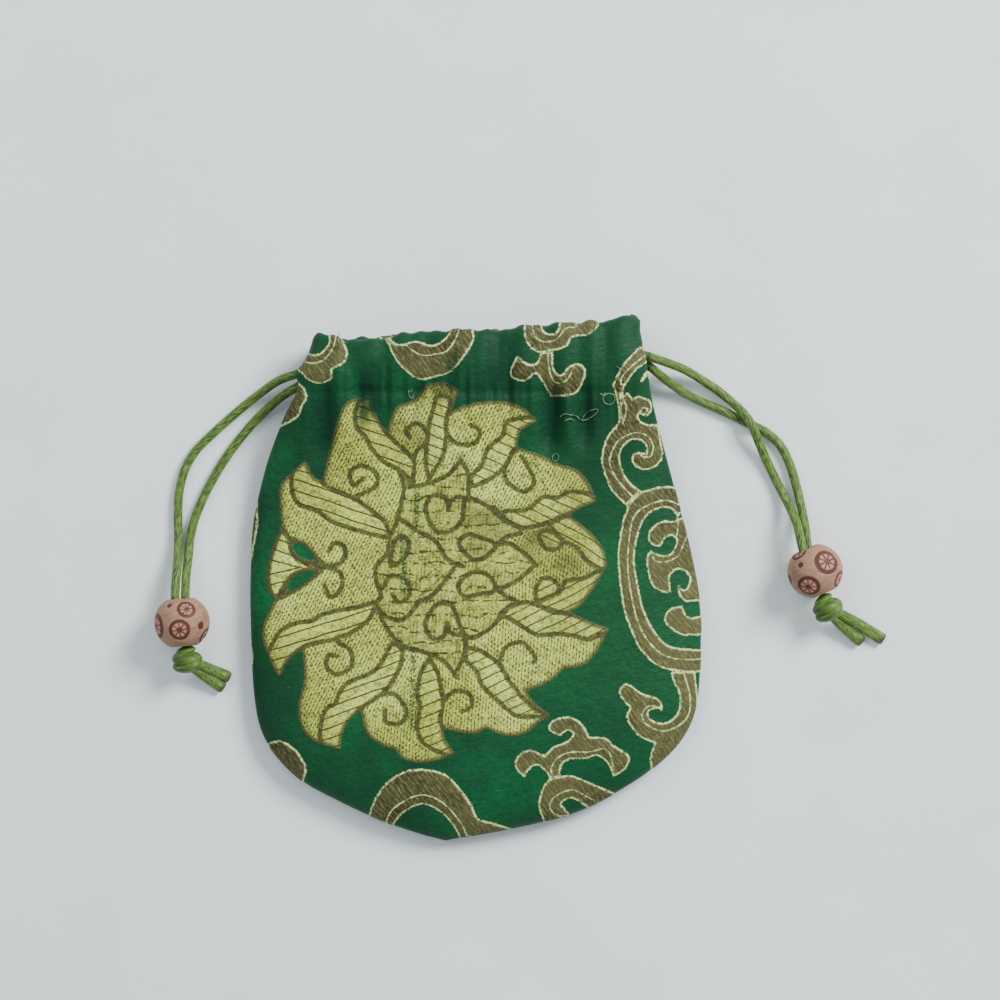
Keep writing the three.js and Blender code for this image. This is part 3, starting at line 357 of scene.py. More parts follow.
# Scrolls, and the gold lines inside them
SCROLLS = [
    [(36.5, 51.2), (34.3, 49.4), (32.6, 47.5), (31.4, 45.6), (30.6, 43.7), (30.2, 42.7), (30.8, 40.8),
     (31.2, 38.5), (31.5, 37), (31.4, 34.6), (29.8, 32.6), (28.7, 30.8), (27.9, 28.2), (27.7, 25.6),
     (28.9, 21.8), (30.2, 19.2), (33.2, 16.2, 1), (35.5, 18.6), (36.6, 19.4, 1), (34.9, 20.6),
     (33.3, 22.3), (32.2, 24.6), (31.8, 26.9), (32.4, 29), (34.2, 30.6), (36.2, 30.6), (37.4, 29.4),
     (37.6, 27.7, 1), (35.9, 28), (34.5, 27.2), (34.6, 25.5), (36.1, 24.3), (38.5, 24.2), (40.6, 25.7),
     (41.3, 27.6), (40.9, 30), (40.6, 32), (40.2, 34.2, 1), (37.8, 34.2), (36.3, 34.9), (35.9, 36.4),
     (37.6, 35.7, 1), (38.8, 37.2), (38.5, 39.2), (36.2, 40.4), (34.5, 39.8, 1), (33.4, 41.1),
     (32.5, 40.6), (32.7, 42.2), (33.7, 43.8), (35, 45.7), (37, 47.2), (39, 48.6, 1)],
    [(33.3, 15.9, 1), (34.5, 17.5), (36.6, 19.3), (39.3, 20.2), (42.2, 20.5), (44.8, 20.2, 1),
     (46, 15.5, 1), (44.5, 13.6, 1), (43.6, 15), (41.8, 15.8), (38.9, 14.9), (36.9, 12.8), (35.6, 9),
     (35, 5), (35.5, 0.7), (36.5, -4.6), (37.9, -8.7), (40.4, -12.7), (42.5, -14.5), (45.8, -15.2),
     (51, -15.4, 1), (51, -20.3, 1), (45.8, -20.4), (42.5, -19.9), (39.5, -18.7), (36.2, -15.5),
     (34.2, -11.2), (32.6, -6.8), (31.8, -1.5), (31.3, 4.5), (31.7, 9), (32.4, 13), (33.2, 15)],
    [(45.2, 13.6, 1), (43.4, 12.8), (41.5, 13), (39.5, 12), (38, 10.1), (38.2, 8.3), (39.6, 7.3),
     (40.9, 7.5), (41.6, 8.9), (43.1, 9.6), (44.2, 8.6), (43.7, 6.7), (42.3, 5.4), (40, 5.6),
     (38.6, 6.5, 1), (37.6, 4.8), (37.8, 2.4), (38.2, 0.3), (39.2, -1.7), (41.2, -2.8), (43.1, -3, 1),
     (42.8, -0.9), (42.8, 0.9), (44.5, 2.2), (46.5, 1.4), (47.1, -0.7), (45.8, -2.3), (44.6, -1, 1),
     (44.7, -3.2), (46.3, -4.9), (48.4, -4.7), (50, -5, 1), (50, 3, 1), (46.8, 13, 1)],
    [(51, -8, 1), (49.2, -8), (47.2, -8.4), (46, -7.2), (45.5, -5.8, 1), (43.2, -6.2), (41.8, -7.5),
     (41.6, -9.4), (43.3, -11.1), (45.6, -12.3), (48.4, -12.3), (51, -12.2, 1)],
    [(42.7, -20.2, 1), (43.6, -22.6), (44.8, -25.2), (44.8, -27.8), (43.8, -30.3), (41.5, -31.5),
     (39, -31), (38, -29.4), (39.5, -28.4), (41.3, -29, 1), (40.8, -26.8), (39, -25.7), (36.6, -25),
     (33.4, -22.9), (31.6, -24.2), (32.2, -26.3), (34, -28.2, 1), (33.2, -30.3), (34.4, -32.7),
     (36.4, -34.8), (39.5, -36, 1), (38.7, -37.8), (38.4, -39.8), (38.7, -42.5, 1), (44.5, -40.5, 1),
     (48.8, -33.5, 1), (48.9, -29.5), (48.9, -25.5), (48.4, -21.5), (48.3, -20.2, 1)],
    [(16.3, -33.2), (16.3, -31.6), (18, -30.5), (20.5, -30.2), (22.6, -31), (24.2, -32.8), (25, -34.7, 1),
     (28.5, -34.8), (30.5, -36.6, 1), (33.4, -38.4), (33.9, -40), (32.8, -41.9), (30.2, -43.6, 1),
     (29.7, -41.6), (28.4, -39.8), (26.4, -38.8), (24.4, -39.5), (20.8, -39.6), (19.2, -40.6),
     (18.6, -42.3), (18.9, -43.3, 1), (16.5, -43.8, 1), (15.5, -42.4), (13.6, -40.9), (11.6, -42),
     (11, -43.8, 1), (9.1, -42), (8.7, -40.3), (9.6, -38.5), (11.6, -37.5), (13.7, -38.1),
     (15.3, -38.8, 1), (17, -36.8), (19.9, -35.7), (21.5, -34.1), (20.2, -33.3), (18.5, -34.6, 1)],
    [(16.3, -43.9, 1), (18.6, -43.3), (21, -43.1), (24.3, -44.3), (27.6, -45.7), (31.2, -47.2, 1),
     (32, -49, 1), (27, -51.6, 1), (24.3, -50), (22.3, -48.6), (20.7, -48.2), (18.9, -49.3),
     (19.9, -50.6), (21.4, -52.6, 1), (20, -55, 1), (15.8, -55.5, 1), (14.5, -52), (13.8, -49.5),
     (14.2, -47.8), (14.9, -45.5)],
    [(-24, -54, 1), (-22.9, -50), (-21.4, -47), (-18.8, -44), (-15, -42), (-10.5, -41.8), (-6.4, -43),
     (-3.6, -45.8), (-1, -49.3), (0.6, -52.6), (3.5, -53.4), (9.4, -55.2, 1), (8, -58, 1),
     (-3.3, -58.6, 1), (-3.7, -56.3), (-5.6, -53.3), (-8.2, -50.9), (-11.5, -49.5), (-15, -50.8),
     (-17.5, -53.2), (-18.2, -55.4, 1)],
    [(-46.8, -37.4, 1), (-44.9, -35.7), (-42.5, -35.6), (-39.8, -37.2), (-37.7, -40), (-37.2, -42),
     (-37.9, -45, 1), (-42, -45, 1)],
    [(-37.6, 50, 1), (-35.1, 49.5), (-33.3, 50.6), (-32.2, 52.5), (-32.8, 55.5, 1), (-30, 55.5, 1),
     (-29, 52.3), (-28.1, 50), (-28.9, 47.6), (-31.6, 46.2, 1), (-31.7, 44), (-34.2, 43.1),
     (-36.8, 43.8), (-38.6, 45.6), (-40.5, 47.5, 1)],
    [(-39.6, 43.7, 1), (-38, 42.5), (-37, 40.2), (-38.2, 37.8), (-39.2, 35.6), (-43.4, 33.2, 1),
     (-44, 40, 1)],
    [(-20.8, 54.6, 1), (-19, 51.2), (-17.5, 48.2), (-15, 45.5), (-12.2, 43.9), (-8.4, 44.6),
     (-5.2, 45.8), (-2.3, 49.3), (-0.3, 52.8), (-0.8, 56.5, 1), (-5.2, 56.5, 1), (-6.2, 53.7),
     (-9.3, 51.6), (-13, 52.5), (-16.6, 51.7), (-18.5, 52.8), (-19.2, 55, 1)],
    [(9.2, 49.4, 1), (8.4, 47.8), (7.7, 46.2), (8, 44.4), (10.6, 43.6), (13.3, 45.3, 1), (14.7, 43.4),
     (16.5, 40.2, 1), (19.6, 40.3), (22.2, 41), (23.8, 43.6), (24.3, 46), (22.8, 47.5), (20.6, 46.9),
     (18.8, 45), (17.3, 46.4), (17, 50, 1), (14.4, 50, 1), (13.4, 47.6), (11.2, 47.6)],
    [(10.6, 56.5, 1), (11, 52.6), (13.3, 50.1), (16.4, 50.1), (20, 51.2), (21.4, 53.3), (24.8, 53.7),
     (27, 55.7), (27.2, 57.5, 1), (18.6, 57.5, 1), (18, 54.7), (16.6, 54.1), (15, 54.7), (14.4, 57.5, 1)],
    [(-47.9, 17.5, 1), (-47.9, 12), (-48.9, 6), (-49.4, 4), (-51, 4, 1), (-51, 17.5, 1)],
    [(-49.5, -14.2, 1), (-48.9, -16.4), (-49.2, -19.8, 1), (-51, -19.8, 1), (-51, -14.2, 1)],
    [(36.3, 43.6, 1), (36.9, 45), (38.3, 46.3, 1), (38.2, 45.4), (37.3, 44.2), (36.9, 43.4, 1)],
]
GOLD_LINES = [
    [(34.8, 18.1, 1), (32.3, 20.6), (30.4, 23.2), (29.5, 26), (30.3, 28.8), (31.7, 30.8), (34.9, 32.3),
     (37.4, 31.8), (39, 29.8), (38.6, 27.2), (36.6, 27, 1), (35, 29.5), (33, 26.5), (35.6, 21),
     (36.6, 19, 1)],
    [(38.6, 50, 1), (36.6, 48.8), (34.2, 46.8), (32.3, 44.7), (31.9, 43, 1), (34.6, 43), (39.4, 48, 1)],
    [(51, -17.2, 1), (47.3, -17.6), (43, -17.2), (39.9, -15.6), (37.3, -12.5), (35.5, -8.6), (34.2, -3),
     (33.5, 3), (33.8, 8.8), (34.7, 13.5), (36.7, 15.7), (39.7, 17), (42.3, 17.4), (45.6, 16, 1),
     (45, 14.6), (41, 14.5), (37.3, 9), (36.8, 2), (38.5, -6), (42.5, -13), (51, -14, 1)],
    [(44.5, 13.2, 1), (44.4, 10.5), (43.6, 8.2), (42, 6.3), (38.6, 6.1, 1), (39.5, 4.2), (41.8, 3.9),
     (44.4, 5.1), (45.6, 7.5), (46.8, 10.4, 1), (46.4, 13.4, 1)],
    [(45.6, -20, 1), (46.5, -22.8), (47.2, -26), (46.9, -29.4), (45, -31.9), (41.5, -33.3), (38, -32.2),
     (36.6, -29.8), (38.2, -27.8), (40.6, -28.4, 1), (40, -30), (43, -30), (44.4, -26), (42.6, -19.6, 1)],
    [(17.3, -43.5, 1), (16.6, -41.8), (18, -39.3), (20.8, -38), (25, -37.9), (28.4, -37.2),
     (29.9, -39.2), (30.4, -43, 1), (29, -42), (23, -41), (19.5, -42), (18.7, -43.8, 1)],
    [(28.5, -49.6, 1), (24.8, -47.9), (21.3, -46.2), (17.8, -47.5), (16.3, -49.5), (17.5, -51.6),
     (20.3, -52.4, 1), (20, -50), (22, -49.2), (26, -51.5, 1)],
    [(-20, -54.6, 1), (-18.8, -51.3), (-15.9, -48.8), (-12.2, -47.4), (-8.8, -48.1), (-5.6, -50.5),
     (-3, -53.8), (-1.5, -56.5), (1.5, -56.6, 1), (-4, -57), (-7, -53.5), (-11.5, -51), (-16, -53),
     (-18.5, -56, 1)],
    [(-38.4, 48.2, 1), (-35.8, 47.5), (-33.3, 48.4), (-31.5, 50.6), (-30.7, 53.6), (-31, 56, 1),
     (-33.5, 56, 1), (-38, 50.6, 1)],
    [(-15.6, 51.8, 1), (-12.3, 49.5), (-9, 49.5), (-5.9, 50.6), (-3.7, 54.6), (-3.6, 57, 1), (-6, 55),
     (-9, 52.6), (-13, 53.3), (-15.6, 52.8, 1)],
    [(15.9, 50.6, 1), (16.2, 46.5), (17.4, 43.5), (19.9, 43.7), (21.5, 46.4), (21.6, 47.6, 1), (20, 47.2),
     (18.2, 46.2), (17.8, 50.6, 1)],
    [(12.4, 57, 1), (13, 53.6), (15.1, 52.3), (17.8, 52.8), (19.9, 55.2), (22, 55.5), (22, 57, 1)],
    [(31.7, 41.3, 1), (32.9, 39), (33.1, 36.8), (32.4, 34.2, 1), (32.1, 36.8), (32, 39)],
    [(35.9, 36.7, 1), (37.2, 36.4), (37.9, 37.5, 1), (36.8, 37.8)],
]


def curve_at(points, places):
    """Points of a smooth curve through points, where a whole number in places is one of them"""
    points = np.array(points, float)
    padded = np.vstack([2 * points[0] - points[1], points, 2 * points[-1] - points[-2]])
    places = np.clip(np.asarray(places, float), 0, len(points) - 1)
    span = np.minimum(places.astype(int), len(points) - 2)
    t = (places - span)[..., None]
    before, start, end, after = (padded[span + n] for n in range(4))
    leave = (end - before) / 2
    arrive = (after - start) / 2
    rise = 3 * (end - start) - 2 * leave - arrive
    return start + leave * t + rise * t**2 + (2 * (start - end) + leave + arrive) * t**3


def smooth_step(low, high, value):
    share = np.clip((value - low) / (high - low), 0, 1)
    return share * share * (3 - 2 * share)


def mix(a, b, share):
    return a + (b - a) * share


def hill(distance, reach):
    return np.exp(-((distance / reach) ** 2))


def section_at(row):
    """The left and right end of a section of the bag, its seam and crown heights and its squareness"""
    scale = np.array([BAG_WIDTH / 2, BAG_LENGTH / 2])
    table = np.array(SECTIONS)
    tall = mix(BELLY_HEIGHT, BAG_HEIGHT, table[:, 7])
    forms = np.column_stack([table[:, 4] * tall, table[:, 5] * tall, table[:, 6]])
    left = curve_at(table[:, 0:2] * scale, row)
    right = curve_at(table[:, 2:4] * scale, row)
    form = curve_at(forms, row)
    return left, right, form[..., 0], np.maximum(form[..., 0], form[..., 1]), form[..., 2]


def skin(side, across, row):
    """Points of the bag's outer skin without its gathers"""
    left, right, seam, crown, square = section_at(row)
    point = left + (right - left) * ((across + 1) / 2)[..., None]
    turned = point[..., 0] * FACING[side]
    sag = 1 - across**2
    for mouth, _, _, width, _, dip in GATHERS:
        sag = sag + dip * hill(turned - mouth * BAG_WIDTH / 2, width * GATHER_WIDTH)
    y = point[..., 1] - MOUTH_SAG * sag * smooth_step(STITCH_ROW, MOUTH_ROW, row)
    bulge = np.maximum(0, 1 - np.abs(across) ** square) ** (1 / square)
    if side == "front":
        z = seam + (crown - seam) * bulge
    else:
        z = np.maximum(0, seam * (1 - BACK_FLATNESS * bulge))
    return np.stack([point[..., 0], y, z], axis=-1)


def outwards(side, across, row):
    """Which way the skin faces, kept level along the seams"""
    step = 0.002
    left = skin(side, np.maximum(-1, across - step), row)
    right = skin(side, np.minimum(1, across + step), row)
    below = skin(side, across, np.maximum(0, row - step))
    above = skin(side, across, np.minimum(MOUTH_ROW, row + step))
    normal = np.cross(right - left, above - below) * FACING[side]
    normal[np.abs(across) == 1, 2] = 0
    normal[row == 0] = (0, -1, 0)
    return normal / np.maximum(np.linalg.norm(normal, axis=-1, keepdims=True), 1e-9)


def gather_at(side, across, x, y):
    """How far the gathers draw the cloth in"""
    depth = 0
    for mouth, foot, level, width, deep, _ in GATHERS:
        low = level * BAG_LENGTH / 2
        rise = smooth_step(low, GATHER_TOP * BAG_LENGTH / 2, y)
        climb = np.clip((y - low) / (BAG_LENGTH / 2 - low), 0, 1)
        middle = mix(foot, mouth, climb) * BAG_WIDTH / 2
        depth = depth + deep * rise * hill(x * FACING[side] - middle, width * GATHER_WIDTH)
    return GATHER_DEPTH[side] * depth * (1 - np.abs(across) ** 6)


def in_bag(side, across, row, depth):
    """Points at a depth under the skin, with the gathers drawn in and the seam's two edges a little apart"""
    point = skin(side, across, row) - outwards(side, across, row) * depth[..., None]
    apart = SEAM_GAP / 2 * (np.abs(across) == 1) * smooth_step(0.5, 2.5, row)
    point[..., 2] += FACING[side] * (apart - gather_at(side, across, point[..., 0], point[..., 1]))
    return point


def smooth_line(points, closed):
    """A polyline along smooth curves between the corners of an outline"""
    corners = [n for n, point in enumerate(points) if len(point) > 2]
    places = [point[:2] for point in points]
    if closed and not corners:
        count = len(places)
        loop = places[-1:] + places + places[:2]
        return curve_at(loop, np.linspace(1, count + 1, 5 * count + 1))
    if closed:
        first = corners[0]
        places = places[first:] + places[:first] + places[first:first + 1]
        corners = [n - first for n in corners] + [len(places) - 1]
    stops = sorted({0, len(places) - 1, *corners})
    runs = []
    for start, end in zip(stops, stops[1:]):
        runs.append(curve_at(places[start:end + 1], np.linspace(0, end - start, 5 * (end - start) + 1)))
    return np.vstack(runs)


def distance_to(line, spots):
    """How far each spot lies from a polyline, up to the chart's reach, and which spots are near it"""
    near = np.all((spots > line.min(0) - CHART_REACH) & (spots < line.max(0) + CHART_REACH), axis=1)
    close = spots[near]
    best = np.full(len(close), CHART_REACH**2)
    for start, end in zip(line, line[1:]):
        run = end - start
        share = np.clip((close - start) @ run / max(run @ run, 1e-9), 0, 1)
        best = np.minimum(best, ((close - start - share[:, None] * run) ** 2).sum(1))
    return near, np.sqrt(best)


def depth_inside(outlines, spots):
    """How deep each spot lies inside the nearest outline, less than zero outside them"""
    result = np.full(len(spots), -CHART_REACH)
    for outline in outlines:
        line = smooth_line(outline, True)
        near, away = distance_to(line, spots)
        x, y = spots[near].T
        within = np.zeros(len(x), bool)
        for (x0, y0), (x1, y1) in zip(line, line[1:]):
            level = (y - y0) / (y1 - y0) if y1 != y0 else 0
            within ^= ((y0 > y) != (y1 > y)) & (x < x0 + level * (x1 - x0))
        result[near] = np.maximum(result[near], np.where(within, away, -away))
    return result


def distance_to_any(lines, spots):
    result = np.full(len(spots), CHART_REACH)
    for line in lines:
        near, away = distance_to(line, spots)
        result[near] = np.minimum(result[near], away)
    return result


# Camera
view_data = bpy.data.cameras.new("camera")
view_data.lens = 36 * VIEW_HEIGHT / VIEW_WIDTH
view_data.sensor_width = 36
view_data.clip_start = 0.01
view = bpy.data.objects.new("camera", view_data)
view.location = (VIEW_CENTRE[0] * MM, VIEW_CENTRE[1] * MM, (VIEW_HEIGHT + VIEW_LEVEL) * MM)
bpy.context.collection.objects.link(view)
bpy.context.scene.camera = view


def new_object(name, mesh, material=None):
    thing = bpy.data.objects.new(name, mesh)
    bpy.context.collection.objects.link(thing)
    if material:
        mesh.materials.append(material)
    return thing


def grid_mesh(name, columns, rows):
    """A flat grid whose corners hold their column and row numbers as x and y, with a UV map"""
    shape = bmesh.new()
    shape.loops.layers.uv.new("UVMap")
    bmesh.ops.create_grid(shape, x_segments=columns, y_segments=rows, size=1, calc_uvs=True)
    for corner in shape.verts:
        corner.co.x = round((corner.co.x + 1) / 2 * columns)
        corner.co.y = round((corner.co.y + 1) / 2 * rows)
    mesh = bpy.data.meshes.new(name)
    shape.to_mesh(mesh)
    shape.free()
    return mesh


def corners_of(mesh):
    flat = np.empty(len(mesh.vertices) * 3)
    mesh.vertices.foreach_get("co", flat)
    return flat.reshape(-1, 3)


def place_corners(mesh, points):
    mesh.vertices.foreach_set("co", (np.asarray(points) * MM).ravel())
    mesh.update()


def set_values(mesh, name, values):
    mesh.attributes.new(name, "FLOAT", "POINT").data.foreach_set("value", values)


def tidy_mesh(mesh, drop=()):
    """Takes out unwanted faces, welds corners that meet and shades the rest smooth"""
    shape = bmesh.new()
    shape.from_mesh(mesh)
    shape.faces.ensure_lookup_table()
    bmesh.ops.delete(shape, geom=[shape.faces[n] for n in drop], context="FACES")
    bmesh.ops.remove_doubles(shape, verts=shape.verts, dist=2e-6)
    for face in shape.faces:
        face.smooth = True
    shape.to_mesh(mesh)
    shape.free()


def close_up(mesh, sides=0):
    """Points a mesh's faces outwards, after closing holes of up to so many sides"""
    shape = bmesh.new()
    shape.from_mesh(mesh)
    if sides:
        bmesh.ops.holes_fill(shape, edges=[edge for edge in shape.edges if edge.is_boundary], sides=sides)
    bmesh.ops.recalc_face_normals(shape, faces=shape.faces)
    shape.to_mesh(mesh)
    shape.free()


def swept(name, points, radius, material, sides=14, step=0.35, taper=(), flat=1.0):
    """A round tube along a smooth line, with its length as U. taper gives the radius's share along it."""
    dense = curve_at(points, np.linspace(0, len(points) - 1, 40 * len(points)))
    lengths = np.concatenate([[0], np.cumsum(np.linalg.norm(np.diff(dense, axis=0), axis=1))])
    count = max(4, int(lengths[-1] / step))
    marks = np.linspace(0, lengths[-1], count + 1)
    path = np.stack([np.interp(marks, lengths, dense[:, n]) for n in range(3)], axis=1)
    ahead = np.gradient(path, axis=0)
    ahead /= np.linalg.norm(ahead, axis=1, keepdims=True)
    beside = np.empty_like(path)
    last = np.cross(ahead[0], (0, 0, 1))
    for n, direction in enumerate(ahead):
        last = last - direction * (last @ direction)
        last = last / np.linalg.norm(last)
        beside[n] = last
    above = np.cross(beside, ahead)
    mesh = grid_mesh(name, count, sides)
    spot = corners_of(mesh)
    place = spot[:, 0].astype(int)
    angle = 2 * math.pi * (spot[:, 1] % sides) / sides
    size = radius * (np.interp(place / count, *zip(*taper)) if taper else np.ones(len(place)))
    ring = beside[place] * np.cos(angle)[:, None] + above[place] * (flat * np.sin(angle))[:, None]
    place_corners(mesh, path[place] + ring * size[:, None])
    tidy_mesh(mesh)
    close_up(mesh, sides)
    for loop in mesh.uv_layers[0].data:
        loop.uv.x *= lengths[-1] * MM
    return new_object(name, mesh, material), path


class Shading:
    """One material's nodes, with short ways to add arithmetic"""

    def __init__(self, name):
        self.material = bpy.data.materials.new(name)
        self.material.use_nodes = True
        self.tree = self.material.node_tree
        self.shader = self.tree.nodes["Principled BSDF"]

    def add(self, kind, **settings):
        node = self.tree.nodes.new(kind)
        for key, value in settings.items():
            setattr(node, key, value)
        return node

    def plug(self, socket, value):
        if isinstance(value, bpy.types.NodeSocket):
            self.tree.links.new(value, socket)
        elif value is not None:
            socket.default_value = value

    def set(self, **values):
        """Plugs values into the shader's sockets, named with _ for a space"""
        for name, value in values.items():
            self.plug(self.shader.inputs[name.replace("_", " ")], value)

    def here(self, kind="Object"):
        return self.add("ShaderNodeTexCoord").outputs[kind]

    def split(self, vector):
        node = self.add("ShaderNodeSeparateXYZ")
        self.plug(node.inputs[0], vector)
        return node.outputs[0], node.outputs[1]

    def math(self, operation, *values):
        node = self.add("ShaderNodeMath", operation=operation)
        for socket, value in zip(node.inputs, values):
            self.plug(socket, value)
        return node.outputs[0]

    def plus(self, a, b):
        return self.math("ADD", a, b)

    def minus(self, a, b):
        return self.math("SUBTRACT", a, b)

    def times(self, a, b):
        return self.math("MULTIPLY", a, b)

    def blend(self, share, low, high):
        node = self.add("ShaderNodeMix", data_type="RGBA")
        self.plug(node.inputs[0], share)
        self.plug(node.inputs[6], low)
        self.plug(node.inputs[7], high)
        return node.outputs[2]

    def ramp(self, value, low, high, from_low=0.0, to_high=1.0):
        """value moved from the range low to high onto from_low to to_high, softly and held inside it"""
        node = self.add("ShaderNodeMapRange", interpolation_type="SMOOTHSTEP")
        for n, number in enumerate([value, low, high, from_low, to_high]):
            self.plug(node.inputs[n], number)
        return node.outputs[0]

    def mix_values(self, share, low, high):
        node = self.add("ShaderNodeMix", data_type="FLOAT")
        for socket, value in zip((node.inputs[0], node.inputs[2], node.inputs[3]), (share, low, high)):
            self.plug(socket, value)
        return node.outputs[0]

    def attribute(self, name):
        return self.add("ShaderNodeAttribute", attribute_name=name).outputs["Fac"]

    def turned(self, vector, size, turn):
        """Places for a pattern whose features measure size in millimetres, turned about Z"""
        node = self.add("ShaderNodeMapping", vector_type="TEXTURE")
        self.plug(node.inputs["Vector"], vector)
        self.plug(node.inputs["Scale"], [length * MM for length in size])
        self.plug(node.inputs["Rotation"], (0, 0, math.radians(turn)))
        return node.outputs[0]

    def stripes(self, places, pitch, wander):
        """Bands that run along Y, from places in millimetres"""
        node = self.add("ShaderNodeTexWave", wave_type="BANDS", bands_direction="X")
        self.plug(node.inputs["Vector"], places)
        self.plug(node.inputs["Scale"], math.pi / (10 * pitch))
        self.plug(node.inputs["Distortion"], wander)
        self.plug(node.inputs["Detail Scale"], 2)
        return node.outputs["Fac"]

    def noise(self, vector, scale, detail=2.0, roughness=0.5):
        node = self.add("ShaderNodeTexNoise")
        self.plug(node.inputs["Vector"], vector)
        self.plug(node.inputs["Scale"], scale)
        self.plug(node.inputs["Detail"], detail)
        self.plug(node.inputs["Roughness"], roughness)
        return node.outputs[0]

    def bump(self, height, depth, strength):
        node = self.add("ShaderNodeBump")
        self.plug(node.inputs["Strength"], strength)
        self.plug(node.inputs["Distance"], depth)
        self.plug(node.inputs["Height"], height)
        return node.outputs[0]


def rgb(red, green, blue):
    """A colour from its everyday 0 to 255 values"""
    linear = [((v / 255 + 0.055) / 1.055) ** 2.4 if v > 10 else v / 255 / 12.92 for v in (red, green, blue)]
    return (*linear, 1.0)


# Brocade: a green satin ground with a gold lotus and taupe scrolls woven into it
GREEN = rgb(10, 90, 47)
DEEP_GREEN = rgb(5, 54, 30)
LINT = rgb(60, 124, 84)
GOLD = rgb(158, 167, 70)
GOLD_LIGHT = rgb(200, 211, 106)
GOLD_DARK = rgb(84, 92, 32)
HEART_GOLD = rgb(150, 157, 76)
OLIVE = rgb(54, 56, 30)
TICK = rgb(44, 48, 12)
FRINGE = rgb(70, 68, 42)
TAUPE = rgb(104, 104, 64)
TAUPE_DARK = rgb(40, 40, 18)
TRIM = rgb(190, 206, 140)
FOLD_SHADE = rgb(0, 46, 27)
COLUMN_PITCH = 0.72
TICK_PITCH = 1.1
RIB_PITCH = 0.8
SCROLL_RIB_PITCH = 1.0
DASH_ROW_PITCH = 2.8
THREAD_PITCH = 2.3

# How the weave leans, in degrees, and the middle, slope and curve of the thin lines on the bands, in metres
LEFT_LEAN = -26
RIGHT_LEAN = -5
HEART_LEAN = -4
SCROLL_LEAN = 38
BAND_AXIS = 0.0027
BAND_SLANT = 0.44
BAND_BEND = 2.0


